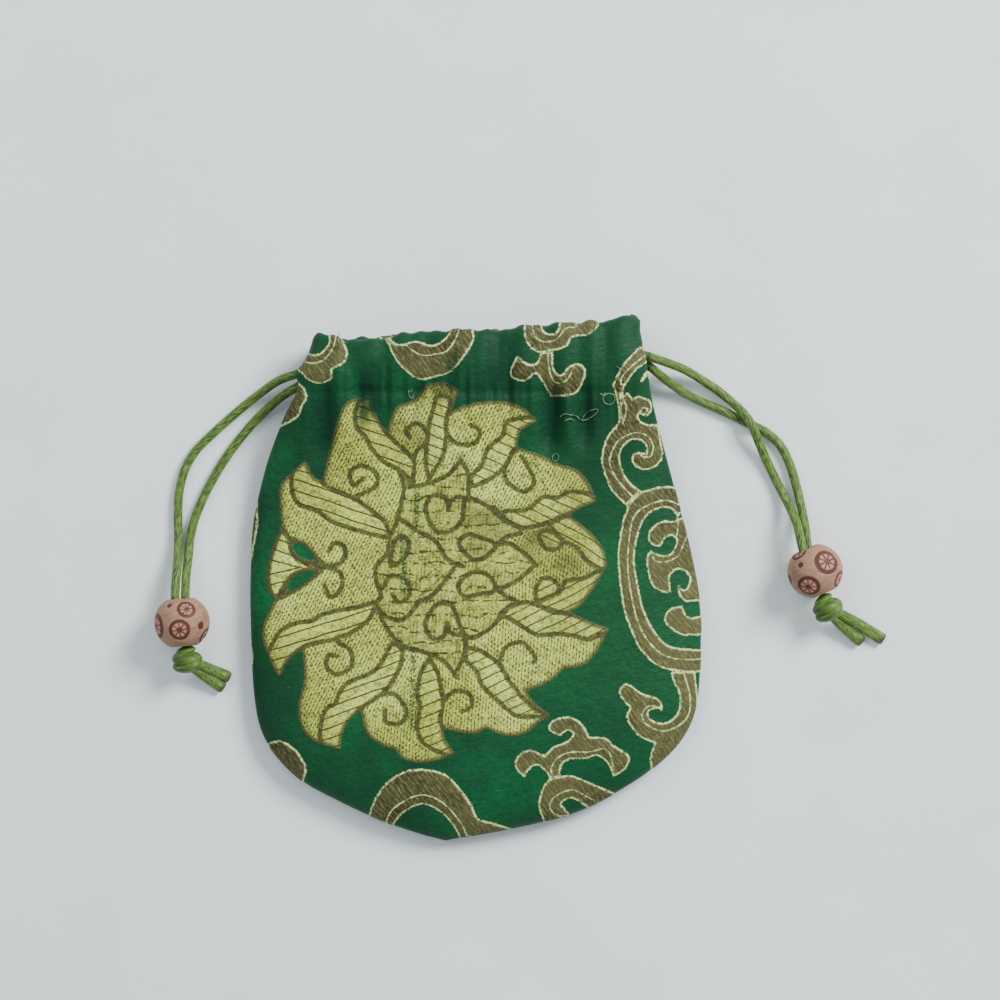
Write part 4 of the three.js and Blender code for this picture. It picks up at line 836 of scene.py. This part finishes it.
def brocade_material():
    made = Shading("brocade")
    here = made.here()
    ramp, noise, turned, blend = made.ramp, made.noise, made.turned, made.blend
    plus, minus, times, reckon = made.plus, made.minus, made.times, made.math
    grain = noise(here, 900, 3)
    patch = noise(here, 60, 3)
    fine = noise(here, 2600, 2)
    x, y = made.split(here)
    names = ("lotus", "band", "line", "heart", "hair", "scroll", "trim", "painted_fold_shade", "gold_shade")
    lotus, band, line, heart, hair, scroll, trim, painted_fold_shade, gold_shade = map(made.attribute, names)
    frayed = times(minus(fine, 0.5), 0.45)
    wobble = plus(times(minus(grain, 0.5), 0.5), frayed)

    def mask(value, edge, soft=0.12):
        rough = plus(value, wobble)
        return ramp(rough, edge - soft, edge + soft)

    def without(a):
        return minus(1.0, a)

    in_lotus = mask(lotus, LOTUS_EDGE, 0.25)
    in_gold = mask(lotus, 0.4, 0.4)
    in_band = mask(band, 0.0)
    in_heart = times(mask(heart, 0.0), without(in_band))
    on_line = without(mask(line, 0.52, 0.18))
    on_hair = without(mask(hair, 0.2))
    on_ground = times(without(in_band), without(in_heart))

    # Columns of small floats with ticks between them: leaning on the left, upright on the right
    def ticks_at(turn):
        beside, upwards = made.split(turned(here, (1, 1, 1), turn))
        sway = times(noise(here, 260, 1), 0.9)
        column = plus(reckon("DIVIDE", beside, COLUMN_PITCH), sway)
        from_middle = reckon("ABSOLUTE", minus(reckon("FRACT", column), 0.5))
        between = ramp(plus(from_middle, times(wobble, 0.5)), 0.27, 0.42)
        number = reckon("FLOOR", plus(column, 0.5))
        along = reckon("DIVIDE", upwards, TICK_PITCH)
        along = plus(along, times(number, 0.37))
        along = plus(along, times(patch, 5.0))
        beat = reckon("ABSOLUTE", minus(reckon("FRACT", along), 0.5))
        return times(between, without(ramp(plus(beat, wobble), 0.28, 0.4)))

    right_side = ramp(minus(x, y), 0.004, 0.012)
    ticks = times(made.mix_values(right_side, ticks_at(LEFT_LEAN), ticks_at(RIGHT_LEAN)), on_ground)
    ticks = times(ticks, ramp(noise(here, 700, 2), 0.34, 0.5, 0.35, 1.0))

    # The heart has upright ribs and rows of short dashes
    ribs = ramp(made.stripes(turned(here, (1, 1, 1), HEART_LEAN), RIB_PITCH, 3.0), 0.25, 0.75)
    row_place = plus(y, times(noise(here, 150, 1), 0.0045))
    in_row = reckon("FRACT", times(row_place, 1000 / DASH_ROW_PITCH))
    dashes = times(without(ramp(in_row, 0.12, 0.2)), ramp(noise(here, 1100, 1), 0.42, 0.5))
    dashes = times(dashes, in_heart)
    furrows = times(times(without(ribs), ramp(noise(here, 500, 2), 0.4, 0.65)), in_heart)

    # Thin lines along the turned-over bands
    lifted = reckon("ABSOLUTE", minus(y, BAND_AXIS))
    bend = times(times(x, x), BAND_BEND)
    slant = plus(plus(lifted, times(x, BAND_SLANT)), bend)
    slant = plus(slant, times(patch, 0.0022))
    turn = reckon("FRACT", times(slant, 1000 / THREAD_PITCH))
    across = reckon("ABSOLUTE", minus(turn, 0.5))
    across = plus(across, times(wobble, 0.2))
    threads = times(without(ramp(across, 0.04, 0.1)), in_band)

    checks = ramp(noise(turned(here, (0.42, 0.3, 1), 0), 1, 0), 0.42, 0.52)
    fault = times(made.attribute("fault"), checks)

    gold = blend(ramp(patch, 0.35, 0.7), GOLD, GOLD_LIGHT)
    tinted = times(in_heart, ramp(noise(here, 110, 2), 0.35, 0.6, 0.2, 1.0))
    gold = blend(tinted, gold, HEART_GOLD)
    gold = blend(ramp(grain, 0.42, 0.7, 0.0, 0.75), gold, GOLD_DARK)
    gold = blend(ramp(fine, 0.52, 0.66, 0.0, 0.7), gold, GOLD_LIGHT)
    gold = blend(ramp(fine, 0.34, 0.46, 0.6, 0.0), gold, GOLD_DARK)
    # Painted shade: the gold darkens towards the bag's right side
    gold = blend(ramp(x, 0.002, 0.022, 0.0, 0.25), gold, GOLD_DARK)
    # The last entry below is painted shade: dark patches on the gold in the folds' shade and around the
    # heart
    for pattern, strength, tint in (
            (ticks, 0.95, TICK), (furrows, 0.6, TICK), (dashes, 0.9, TICK), (threads, 0.92, TICK),
            (on_hair, 0.8, TICK), (on_line, ramp(grain, 0.3, 0.75, 1.0, 0.75), OLIVE),
            (fault, 0.85, DEEP_GREEN), (without(in_gold), 0.9, FRINGE), (gold_shade, 0.75, OLIVE)):
        gold = blend(times(pattern, strength), gold, tint)

    # Scrolls with slanting ribs, a pale edge and an inner gold line
    in_scroll = mask(scroll, 0.0)
    fill = mask(scroll, 0.38, 0.12)
    slanting = made.stripes(turned(here, (1, 1, 1), SCROLL_LEAN), SCROLL_RIB_PITCH, 5)
    streaks = noise(turned(here, (0.3, 1.6, 1), SCROLL_LEAN), 1, 3, 0.6)
    scroll_ribs = times(ramp(slanting, 0.2, 0.9, 0.35, 1.0), ramp(streaks, 0.38, 0.66, 0.0, 1.0))
    taupe = blend(scroll_ribs, TAUPE_DARK, TAUPE)
    taupe = blend(ramp(patch, 0.35, 0.65, 0.0, 0.35), taupe, TAUPE)
    worn = ramp(noise(here, 1300, 2), 0.36, 0.52, 0.15, 1.0)
    on_trim = times(without(mask(reckon("ABSOLUTE", trim), 0.12, 0.1)), worn)
    taupe = blend(on_trim, taupe, TRIM)
    taupe = blend(times(without(fill), worn), taupe, TRIM)

    satin = blend(ramp(patch, 0.3, 0.75), DEEP_GREEN, GREEN)
    satin = blend(ramp(grain, 0.3, 0.75, 0.0, 0.6), satin, DEEP_GREEN)
    specks = noise(turned(here, (0.5, 0.16, 1), 14), 1, 1)
    satin = blend(ramp(specks, 0.66, 0.8, 0.0, 0.5), satin, LINT)
    # Painted shade: the satin darkens towards the bag's right side and towards the mouth, where the gathers
    # are
    satin = blend(ramp(x, -0.025, 0.025, 0.0, 0.5), satin, DEEP_GREEN)
    satin = blend(ramp(y, 0.018, 0.042, 0.0, 0.5), satin, DEEP_GREEN)
    colour = blend(in_scroll, satin, taupe)
    colour = blend(in_lotus, colour, gold)
    # Painted shade in the folds, darker where the folds are deeper
    colour = blend(times(painted_fold_shade, 0.85), colour, FOLD_SHADE)
    made.set(Base_Color=colour)

    woven = reckon("MAXIMUM", in_scroll, in_lotus)
    made.set(Roughness=ramp(woven, 0, 1, 0.58, 0.65))
    made.set(Sheen_Weight=0.02, Sheen_Roughness=0.4, Specular_IOR_Level=0.14)

    # Thread grain, crinkles of the ground and the relief of the raised weave
    crinkle = noise(turned(here, (2.2, 1.1, 1), 20), 1, 3, 0.6)
    relief = plus(times(crinkle, 2.2), times(grain, 0.8))
    sunk = reckon("MAXIMUM", reckon("MAXIMUM", ticks, threads), times(on_line, in_gold))
    sunk = reckon("MAXIMUM", sunk, times(furrows, 0.5))
    raised = minus(woven, times(sunk, in_lotus))
    raised = plus(raised, times(in_scroll, times(scroll_ribs, 0.4)))
    relief = plus(relief, raised)
    made.set(Normal=made.bump(relief, 0.00014, 0.9))
    return made.material


def cord_material(name, contrast, tone, sealed=False):
    """Satin cord, whose fibres run along it with a slow twist"""
    def green(*values):
        return rgb(*(value * tone for value in values))

    made = Shading(name)
    along, around = made.split(made.here("UV"))
    turn = made.times(around, 2 * math.pi)
    turn = made.plus(turn, made.times(along, 220))
    fibres = made.add("ShaderNodeCombineXYZ")
    made.plug(fibres.inputs[0], made.times(along, 130))
    made.plug(fibres.inputs[1], made.math("COSINE", turn))
    made.plug(fibres.inputs[2], made.math("SINE", turn))
    streak = made.noise(fibres.outputs[0], 1.7, 3, 0.6)
    fine = made.noise(fibres.outputs[0], 5.5, 3, 0.6)
    dark = [mix(low, high, 1 - contrast) for low, high in zip((38, 66, 12), (64, 100, 24))]
    base = made.blend(made.ramp(streak, 0.3, 0.64), green(*dark), green(76, 112, 26))
    # Pale flecks are painted highlights for the satin's sheen, and the darkest flecks painted shade between
    # the fibres; the streaks are the cord's own tone
    base = made.blend(made.ramp(fine, 0.48, 0.64, 0, 0.9 * contrast), base, green(120, 152, 54))
    base = made.blend(made.ramp(fine, 0.34, 0.47, 0.9 * contrast, 0), base, green(16, 30, 4))
    if sealed:
        base = made.blend(made.attribute("sealed"), base, rgb(52, 50, 32))
    made.set(Base_Color=base)
    made.set(Roughness=0.5, Sheen_Weight=0.08, Specular_IOR_Level=0.35)
    height = made.plus(streak, made.times(fine, 0.6))
    made.set(Normal=made.bump(height, 0.0004 * contrast, 0.7))
    return made.material


def wood_material():
    made = Shading("bead_wood")
    here = made.here()
    grain = made.noise(made.turned(here, (2.4, 0.5, 2.4), 20), 1, 4)
    mottle = made.noise(here, 420, 3)
    base = made.blend(made.ramp(grain, 0.25, 0.75), rgb(128, 95, 74), rgb(150, 117, 94))
    base = made.blend(made.ramp(mottle, 0.5, 0.75, 0, 0.4), base, rgb(96, 64, 48))
    burnt = made.plus(made.attribute("burnt"), made.times(mottle, 1.3))
    burnt = made.ramp(burnt, 0.95, 1.4)
    base = made.blend(made.times(made.attribute("petal"), 0.6), base, rgb(168, 114, 100))
    base = made.blend(made.times(burnt, 0.9), base, rgb(62, 24, 14))
    made.set(Base_Color=base)
    made.set(Roughness=made.ramp(grain, 0.3, 0.8, 0.52, 0.7))
    made.set(Specular_IOR_Level=0.3)
    made.set(Normal=made.bump(mottle, 0.00006, 0.4))
    return made.material


def thread_material():
    made = Shading("loose_thread")
    here = made.here()
    tone = made.noise(here, 700, 2)
    tint = made.blend(made.ramp(tone, 0.35, 0.65), rgb(52, 84, 58), rgb(118, 138, 104))
    made.set(Base_Color=tint, Roughness=0.6)
    return made.material


def table_material():
    made = Shading("table")
    here = made.here()
    grain = made.noise(here, 40, 4)
    base = made.blend(made.ramp(grain, 0.3, 0.7), rgb(217, 225, 227), rgb(222, 230, 231))
    made.set(Base_Color=base, Roughness=0.8)
    return made.material


brocade = brocade_material()
# Copies of one cord: the knots' copy is painted darker, as painted shade on the tight knot, and the tails' a
# little lighter, as painted light
satin_cord = cord_material("satin_cord", 1.0, 0.93)
satin_knot = cord_material("satin_knot", 0.45, 0.86)
satin_tail = cord_material("satin_tail", 1.0, 0.96, sealed=True)
bead_wood = wood_material()


# Free cords
def bead_frame(side):
    x, y, heading, stack = BEADS[side]
    turn, tilt = math.radians(heading), math.radians(stack)
    along = np.array([math.cos(turn), math.sin(turn), 0])
    beside = np.array([math.sin(turn), -math.cos(turn), 0])
    apart = (beside * math.cos(tilt) + np.array([0, 0, math.sin(tilt)])) * STRAND_PITCH / 2
    return np.array([x, y, BEAD_WIDTH / 2]), along, apart


def strand_points(name):
    side = name.split("_")[0]
    row, points = STRANDS[name]
    left, right = section_at(np.array(float(row)))[:2]
    slit = left if side == "left" else right
    middle, along, apart = bead_frame(side)
    offset = apart * (1 if name.endswith("upper") else -1)
    bore = [middle + along * share * BEAD_LENGTH + offset for share in (-0.5, 0, 0.5)]
    return [np.array([slit[0] + x, slit[1] + y, z]) for x, y, z in points] + bore


def knot_middle(side):
    middle, along, _ = bead_frame(side)
    place = middle + along * (BEAD_LENGTH / 2 + KNOT_GAP + KNOT_LENGTH / 2)
    return np.array([place[0], place[1], BEAD_WIDTH / 2 - 0.6])


strands = {}
for name in STRANDS:
    title = name.replace("_cord", "_satin_cord")
    strands[name] = swept(title, strand_points(name), CORD_WIDTH / 2, satin_cord)


def carve(mesh, side, middle):
    """Sinks spoked wheels into a bead and marks where they are burnt and where their petals are"""
    from_middle = corners_of(mesh) / MM - middle
    far = np.linalg.norm(from_middle, axis=1)
    outer = far > BEAD_WIDTH / 2 * 0.8
    facing = from_middle / far[:, None]
    burnt = np.zeros(len(far))
    petal = np.zeros(len(far))
    for x, y, radius, up in WHEELS[side]:
        height = math.sqrt(max(0.0, (BEAD_WIDTH / 2) ** 2 - x * x - y * y)) * up
        axis = np.array([x, y, height])
        axis /= np.linalg.norm(axis)
        first = np.cross(axis, (0.3, 0.2, 0.9))
        first /= np.linalg.norm(first)
        second = np.cross(axis, first)
        away = np.arccos(np.clip(facing @ axis, -1, 1)) * BEAD_WIDTH / 2 / radius
        turn = np.arctan2(facing @ second, facing @ first)
        spoke = np.abs(np.sin(turn * SPOKES / 2)) * away
        if radius < SMALLEST_WHEEL:
            burnt = np.maximum(burnt, outer * (1 - smooth_step(0.7, 1.1, away)) * 0.8)
            continue
        ring = smooth_step(0.6, 0.72, away) * (1 - smooth_step(0.94, 1.06, away))
        hub = 1 - smooth_step(0.14, 0.26, away)
        wheel = (away < 0.8) * np.maximum(1 - smooth_step(0.13, 0.27, spoke), hub)
        burnt = np.maximum(burnt, outer * np.maximum(ring, wheel))
        petal = np.maximum(petal, outer * (away < 0.66))
    sunk = from_middle - facing * (CARVING_DEPTH * burnt)[:, None]
    place_corners(mesh, middle + sunk)
    set_values(mesh, "burnt", burnt)
    set_values(mesh, "petal", petal)


def bead(side):
    """A turned wooden bead, spun round its bore and laid on its side"""
    middle, along, _ = bead_frame(side)
    profile = bmesh.new()
    end = math.asin(2 * (BORE_RADIUS + 0.5) / BEAD_WIDTH)
    bands = 84
    rim = []
    for n in range(bands + 1):
        angle = mix(end, math.pi - end, n / bands)
        rim.append((math.sin(angle) * BEAD_WIDTH / 2, -math.cos(angle) / math.cos(end) * BEAD_LENGTH / 2))
    rim += [(BORE_RADIUS, BEAD_LENGTH / 2), (BORE_RADIUS, -BEAD_LENGTH / 2)]
    corners = [profile.verts.new((r * MM, 0, level * MM)) for r, level in rim]
    edges = [profile.edges.new(pair) for pair in zip(corners, corners[1:] + corners[:1])]
    bmesh.ops.spin(profile, geom=corners + edges, cent=(0, 0, 0), axis=(0, 0, 1), angle=2 * math.pi,
                   steps=160, use_merge=True)
    bmesh.ops.remove_doubles(profile, verts=profile.verts, dist=1e-6)
    bmesh.ops.recalc_face_normals(profile, faces=profile.faces)
    turn = Vector((0, 0, 1)).rotation_difference(Vector(along))
    bmesh.ops.rotate(profile, verts=profile.verts, cent=(0, 0, 0), matrix=turn.to_matrix())
    bmesh.ops.translate(profile, verts=profile.verts, vec=Vector(middle) * MM)
    for face in profile.faces:
        face.smooth = True
    mesh = bpy.data.meshes.new(f"{side}_wooden_bead")
    profile.to_mesh(mesh)
    profile.free()
    carve(mesh, side, middle)
    mesh.set_sharp_from_angle(angle=math.radians(60))
    return new_object(f"{side}_wooden_bead", mesh, bead_wood)


def knot(side):
    """A knot of the two cords, drawn tight: rounded turns that press against each other"""
    shift = KNOT_SHIFT[side]
    centre = knot_middle(side) + (shift[0], shift[1], 0)
    _, along, _ = bead_frame(side)
    beside = np.array([along[1], -along[0], 0])
    name = f"{side}_cord_knot"
    mesh = grid_mesh(name, KNOT_SIDES, KNOT_RINGS)
    spot = corners_of(mesh)
    angle = 2 * math.pi * (spot[:, 0] % KNOT_SIDES) / KNOT_SIDES
    level = (spot[:, 1] / KNOT_RINGS - 0.5) * KNOT_LENGTH * KNOT_STRETCH
    reach = np.zeros(len(spot))
    for middle, width, radius, tilt, facing in KNOT_TURNS:
        offset = (level - middle - tilt * np.cos(angle - math.radians(facing))) / width
        ridge = radius - width * 1.05 * (1 - np.sqrt(np.clip(1 - offset**2, 0, 1)))
        ridge = ridge + 0.12 * np.cos(2 * angle + middle)
        reach = np.maximum(reach, np.where(np.abs(offset) < 1, ridge, 0))
    ends = np.sqrt(np.clip(1 - np.abs(2 * spot[:, 1] / KNOT_RINGS - 1) ** 5, 0, 1))
    reach = np.maximum(reach, KNOT_CORE) * ends
    around = beside * np.cos(angle)[:, None] + np.array([0, 0, 0.92]) * np.sin(angle)[:, None]
    place_corners(mesh, centre + around * reach[:, None] + along * level[:, None])
    tidy_mesh(mesh)
    close_up(mesh)
    for loop in mesh.uv_layers[0].data:
        loop.uv = (loop.uv.x * KNOT_WIDTH * MM, loop.uv.y * 0.35)
    return new_object(name, mesh, satin_knot)


for side in ("left", "right"):
    ball = bead(side)
    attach(ball, "root")
    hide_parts(f"{side}_bead")
    lump = knot(side)
    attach(lump, "root")
    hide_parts(f"{side}_knot")
    for name, points in TAILS.items():
        if not name.startswith(side):
            continue
        x, y, _ = knot_middle(side)
        route = [np.array([x + p[0], y + p[1], p[2]]) for p in points]
        tail, path = swept(name.replace("_tail", "_cord_tail"), route, TAIL_WIDTH / 2, satin_tail,
                           taper=TAIL_TAPER, flat=TAIL_FLATNESS)
        from_end = np.linalg.norm(corners_of(tail.data) / MM - path[-1], axis=1)
        set_values(tail.data, "sealed", 0.85 * (1 - smooth_step(0.9, 1.8, from_end)))
        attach(tail, "root")
        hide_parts(name)
    for height in ("upper", "lower"):
        name = f"{side}_cord_{height}"
        strand, path = strands[name]
        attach(strand, "root")
        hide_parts(name)
        route = [tuple(point * MM) for point in (*path[::6], path[-1])]


# Panels of cloth
def folds_at(side, place):
    """How far folds draw the cloth in, how much painted shade they get and how far they pull the mouth's
    edge down
    """
    x = place[:, 0] * FACING[side]
    y = place[:, 1]
    depth = np.zeros(len(x))
    dip = 0.15 * np.sin(1.7 * x) + 0.12 * np.sin(0.9 * x + 1.3)
    for top, foot, low, high, width, deep, pull in FOLDS:
        climb = np.clip((y - low) / (high - low), 0, 1)
        near = hill(x - mix(foot, top, climb), width)
        depth += deep * near * smooth_step(low - 3, low + 4, y) * (1 - smooth_step(high - 4, high + 3, y))
        dip += pull * near
    # Painted shade, from how deep the folds draw the cloth in
    shade = np.clip(depth / 1.1, 0, 1)
    pucker = np.sin(1.9 * x + 0.6 * np.sin(0.31 * x)) + 0.6 * np.sin(3.3 * x + 2)
    depth += PUCKER * pucker * hill(y - STITCH_LEVEL, PUCKER_REACH)
    depth += SEAM_DRAW * hill(y - STITCH_LEVEL, SEAM_REACH)
    limit = mix(3.0, CASING_SLACK, smooth_step(STITCH_LEVEL - 1, STITCH_LEVEL + 2, y))
    return np.clip(depth, -0.8, limit), shade, dip


def panel_rows(step):
    """Rows and depths under the skin, from the tip over the mouth's lip and down inside to the stitching"""
    fine_rows = np.linspace(0, TUNNEL_TOP_ROW, 1500)
    left, right = section_at(fine_rows)[:2]
    level = (left[:, 1] + right[:, 1]) / 2
    count = int((level[-1] - level[0]) / step)
    outer = np.interp(np.linspace(level[0], level[-1], count + 1), level, fine_rows)
    lip = np.linspace(0, math.pi, LIP_STEPS + 1)[1:]
    lip_rows = TUNNEL_TOP_ROW + (MOUTH_ROW - TUNNEL_TOP_ROW) * np.sin(lip)
    lip_depth = CASING / 2 * (1 - np.cos(lip))
    inner = np.linspace(TUNNEL_TOP_ROW, STITCH_ROW, FACING_STEPS + 1)[1:]
    open_share = smooth_step(STITCH_ROW, TUNNEL_OPEN_ROW, inner)
    inner_depth = 2 * CLOTH + CORD_CLEARANCE / 2 + (TUNNEL - CORD_CLEARANCE / 2) * open_share
    rows = np.concatenate([outer, lip_rows, inner])
    return rows, np.concatenate([np.zeros(len(outer)), lip_depth, inner_depth]), len(outer) - 1


def panel_columns(step):
    """Places across a panel from -1 to 1, closer together near the seams"""
    half = int(SEAM_BAND * BAG_WIDTH / 2 / step)
    edge = 1 - (1 - SEAM_BAND) * (1 - np.arange(1, SEAM_STEPS + 1) / SEAM_STEPS) ** 1.6
    marks = np.concatenate([np.linspace(0, SEAM_BAND, half + 1), edge])
    return np.concatenate([-marks[:0:-1], marks])


def seen_from_camera(points):
    """Where the camera sees points, in the plan, and each point's scale there"""
    scale = VIEW_HEIGHT / (VIEW_HEIGHT + VIEW_LEVEL - points[:, 2])
    return np.array(VIEW_CENTRE) + (points[:, :2] - VIEW_CENTRE) * scale[:, None], scale


def chart_at(spots):
    """What the brocade's chart says at spots in the plan, as values for the material"""
    x, y = spots.T
    faults = [
        (1 - smooth_step(0.5, 0.9, np.abs(x - place)))
        * (1 - smooth_step(high, high + 0.6, np.abs(y - level)))
        for place, level, high in FAULTS
    ]
    # Painted shade on the gold, in soft patches
    gold_shade = [
        strength * hill(x - place, wide) * hill(y - level, high)
        for place, level, wide, high, strength in GOLD_SHADE_PATCHES
    ]
    lines = [smooth_line(outline, True) for outline in BANDS]
    lines += [smooth_line(stroke, False) for stroke in STROKES]
    hairs = [smooth_line(stroke, False) for stroke in HAIRLINES]
    return {
        "lotus": np.minimum(depth_inside([LOTUS], spots), LOTUS_EDGE - depth_inside(EYES, spots)),
        "band": depth_inside(BANDS, spots),
        "heart": depth_inside([HEART, LEAF], spots),
        "fault": np.max(faults, axis=0),
        "gold_shade": np.max(gold_shade, axis=0),
        "line": distance_to_any(lines, spots),
        "hair": distance_to_any(hairs, spots),
        "scroll": depth_inside(SCROLLS, spots),
        "trim": depth_inside(GOLD_LINES, spots),
    }


def panel(side):
    """One panel from its tip to its mouth, turned in there and back down inside to the stitching"""
    rows, depths, first_lip = panel_rows(WEAVE_STEP[side])
    across = panel_columns(WEAVE_STEP[side])
    mesh = grid_mesh(f"{side}_cloth", len(across) - 1, len(rows) - 1)
    spot = corners_of(mesh).astype(int)
    at = across[spot[:, 0]]
    level = spot[:, 1]
    place = in_bag(side, at, rows[level], depths[level])
    tip = level == 0
    place[tip] = place[tip & (np.abs(at) == 1)].mean(0)

    # The facing stops short of the seams, and the seams are open at the slits
    drop = []
    for face in mesh.polygons:
        i, j = spot[list(face.vertices), :2].min(0)
        middle = (across[i] + across[i + 1]) / 2
        start, end = SLITS[1 if middle > 0 else -1]
        if abs(middle) > FACING_EDGE and j >= first_lip + 4:
            drop.append(face.index)
        elif j < first_lip and abs(middle) > SLIT_OPENING and start < (rows[j] + rows[j + 1]) / 2 < end:
            drop.append(face.index)
    creased, painted_fold_shade, dip = folds_at(side, place)
    place[:, 2] -= creased * (1 - np.abs(at) ** 6) * (1 if side == "front" else -0.3)
    place[:, 1] -= dip * smooth_step(STITCH_ROW, MOUTH_ROW, rows[level])
    for end, height, reach, out in FLARES:
        place[:, 0] += end * out * hill(place[:, 1] - height, reach) * smooth_step(0.9, 1, end * at)
    if side == "back":
        place[:, :2] *= BACK_SHRINK
    place_corners(mesh, place)
    # Only the front gets painted shade in its folds
    set_values(mesh, "painted_fold_shade", painted_fold_shade if side == "front" else painted_fold_shade * 0)
    tidy_mesh(mesh, drop)
    if side == "back":
        mesh.flip_normals()

    corners = corners_of(mesh) / MM
    fields = chart_at(seen_from_camera(corners)[0] if side == "front" else corners[:, :2] * (-1, 1))
    for name, values in fields.items():
        set_values(mesh, name, values)
    normal = np.empty(len(corners) * 3)
    mesh.vertices.foreach_get("normal", normal)
    puff = PUFF * smooth_step(0.2, 1.8, fields["line"]) * smooth_step(0, 1.2, fields["lotus"])
    puff = np.maximum(puff, PUFF * 0.5 * smooth_step(0, 0.8, fields["scroll"]))
    surface = corners + normal.reshape(-1, 3) * puff[:, None]
    surface[:, 2] = np.maximum(surface[:, 2], REST_HEIGHT)
    place_corners(mesh, surface)
    piece = new_object(f"{side}_cloth", mesh, brocade)
    wall = piece.modifiers.new("thickness", "SOLIDIFY")
    wall.thickness = CLOTH_THICKNESS * MM
    wall.offset = -1
    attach(piece, "root")
    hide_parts(f"{side}_panel")
    return piece


front = panel("front")
back = panel("back")


def loose_threads():
    """Pulled threads on the front and frayed tufts on the mouth's edge, as one piece"""
    surface = corners_of(front.data) / MM
    seen, scale = seen_from_camera(surface)
    shape = bmesh.new()
    for closed, line in THREAD_LINES:
        line = np.array(line, float)
        if closed:
            line = np.vstack([line, line[:1]])
        path = curve_at(line, np.linspace(0, len(line) - 1, 5 * len(line)))
        rest = []
        for x, y in path:
            away = (seen[:, 0] - x) ** 2 + (seen[:, 1] - y) ** 2
            near = np.argsort(away)[:6]
            lift = 0.12 if away[near[0]] < 1 else -0.3
            below = np.array(VIEW_CENTRE) + (np.array([x, y]) - VIEW_CENTRE) / scale[near[0]]
            rest.append((*below, surface[near, 2].max() + lift))
        tube, _ = swept("thread", rest, THREAD_RADIUS, None, sides=6, step=0.2)
        shape.from_mesh(tube.data)
        bpy.data.objects.remove(tube)
    mesh = bpy.data.meshes.new("loose_threads")
    shape.to_mesh(mesh)
    shape.free()
    return new_object("loose_threads", mesh, thread_material())


threads = loose_threads()
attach(threads, "root")

for name in ("left_cord_in_casing", "right_cord_in_casing"):
    inner = bpy.data.objects[name]
    if not inner.material_slots:
        inner.data.materials.append(satin_cord)
    for slot in inner.material_slots:
        slot.material = satin_cord


# Table and light
floor_shape = bmesh.new()
bmesh.ops.create_grid(floor_shape, x_segments=2, y_segments=2, size=3)
floor_mesh = bpy.data.meshes.new("table")
floor_shape.to_mesh(floor_mesh)
floor_shape.free()
floor = new_object("table", floor_mesh, table_material())

world = bpy.data.worlds.new("room")
world.use_nodes = True
sky = world.node_tree.nodes["Background"]
sky.inputs["Color"].default_value = (0.82, 0.88, 0.92, 1)
sky.inputs["Strength"].default_value = 0.76
bpy.context.scene.world = world


def area_light(name, place, size, power, tint):
    """A square light that faces the middle of the table"""
    lamp = bpy.data.lights.new(name, "AREA")
    lamp.size = size
    lamp.energy = power
    lamp.color = tint
    thing = bpy.data.objects.new(name, lamp)
    thing.location = place
    thing.rotation_euler = (-Vector(place)).to_track_quat("-Z", "Y").to_euler()
    bpy.context.collection.objects.link(thing)


area_light("window", (0.72, 0.6, 0.74), 0.45, 25.0, (1.0, 0.99, 0.97))
area_light("fill", (-0.6, 0.5, 0.9), 0.8, 5.0, (0.95, 0.98, 1.0))
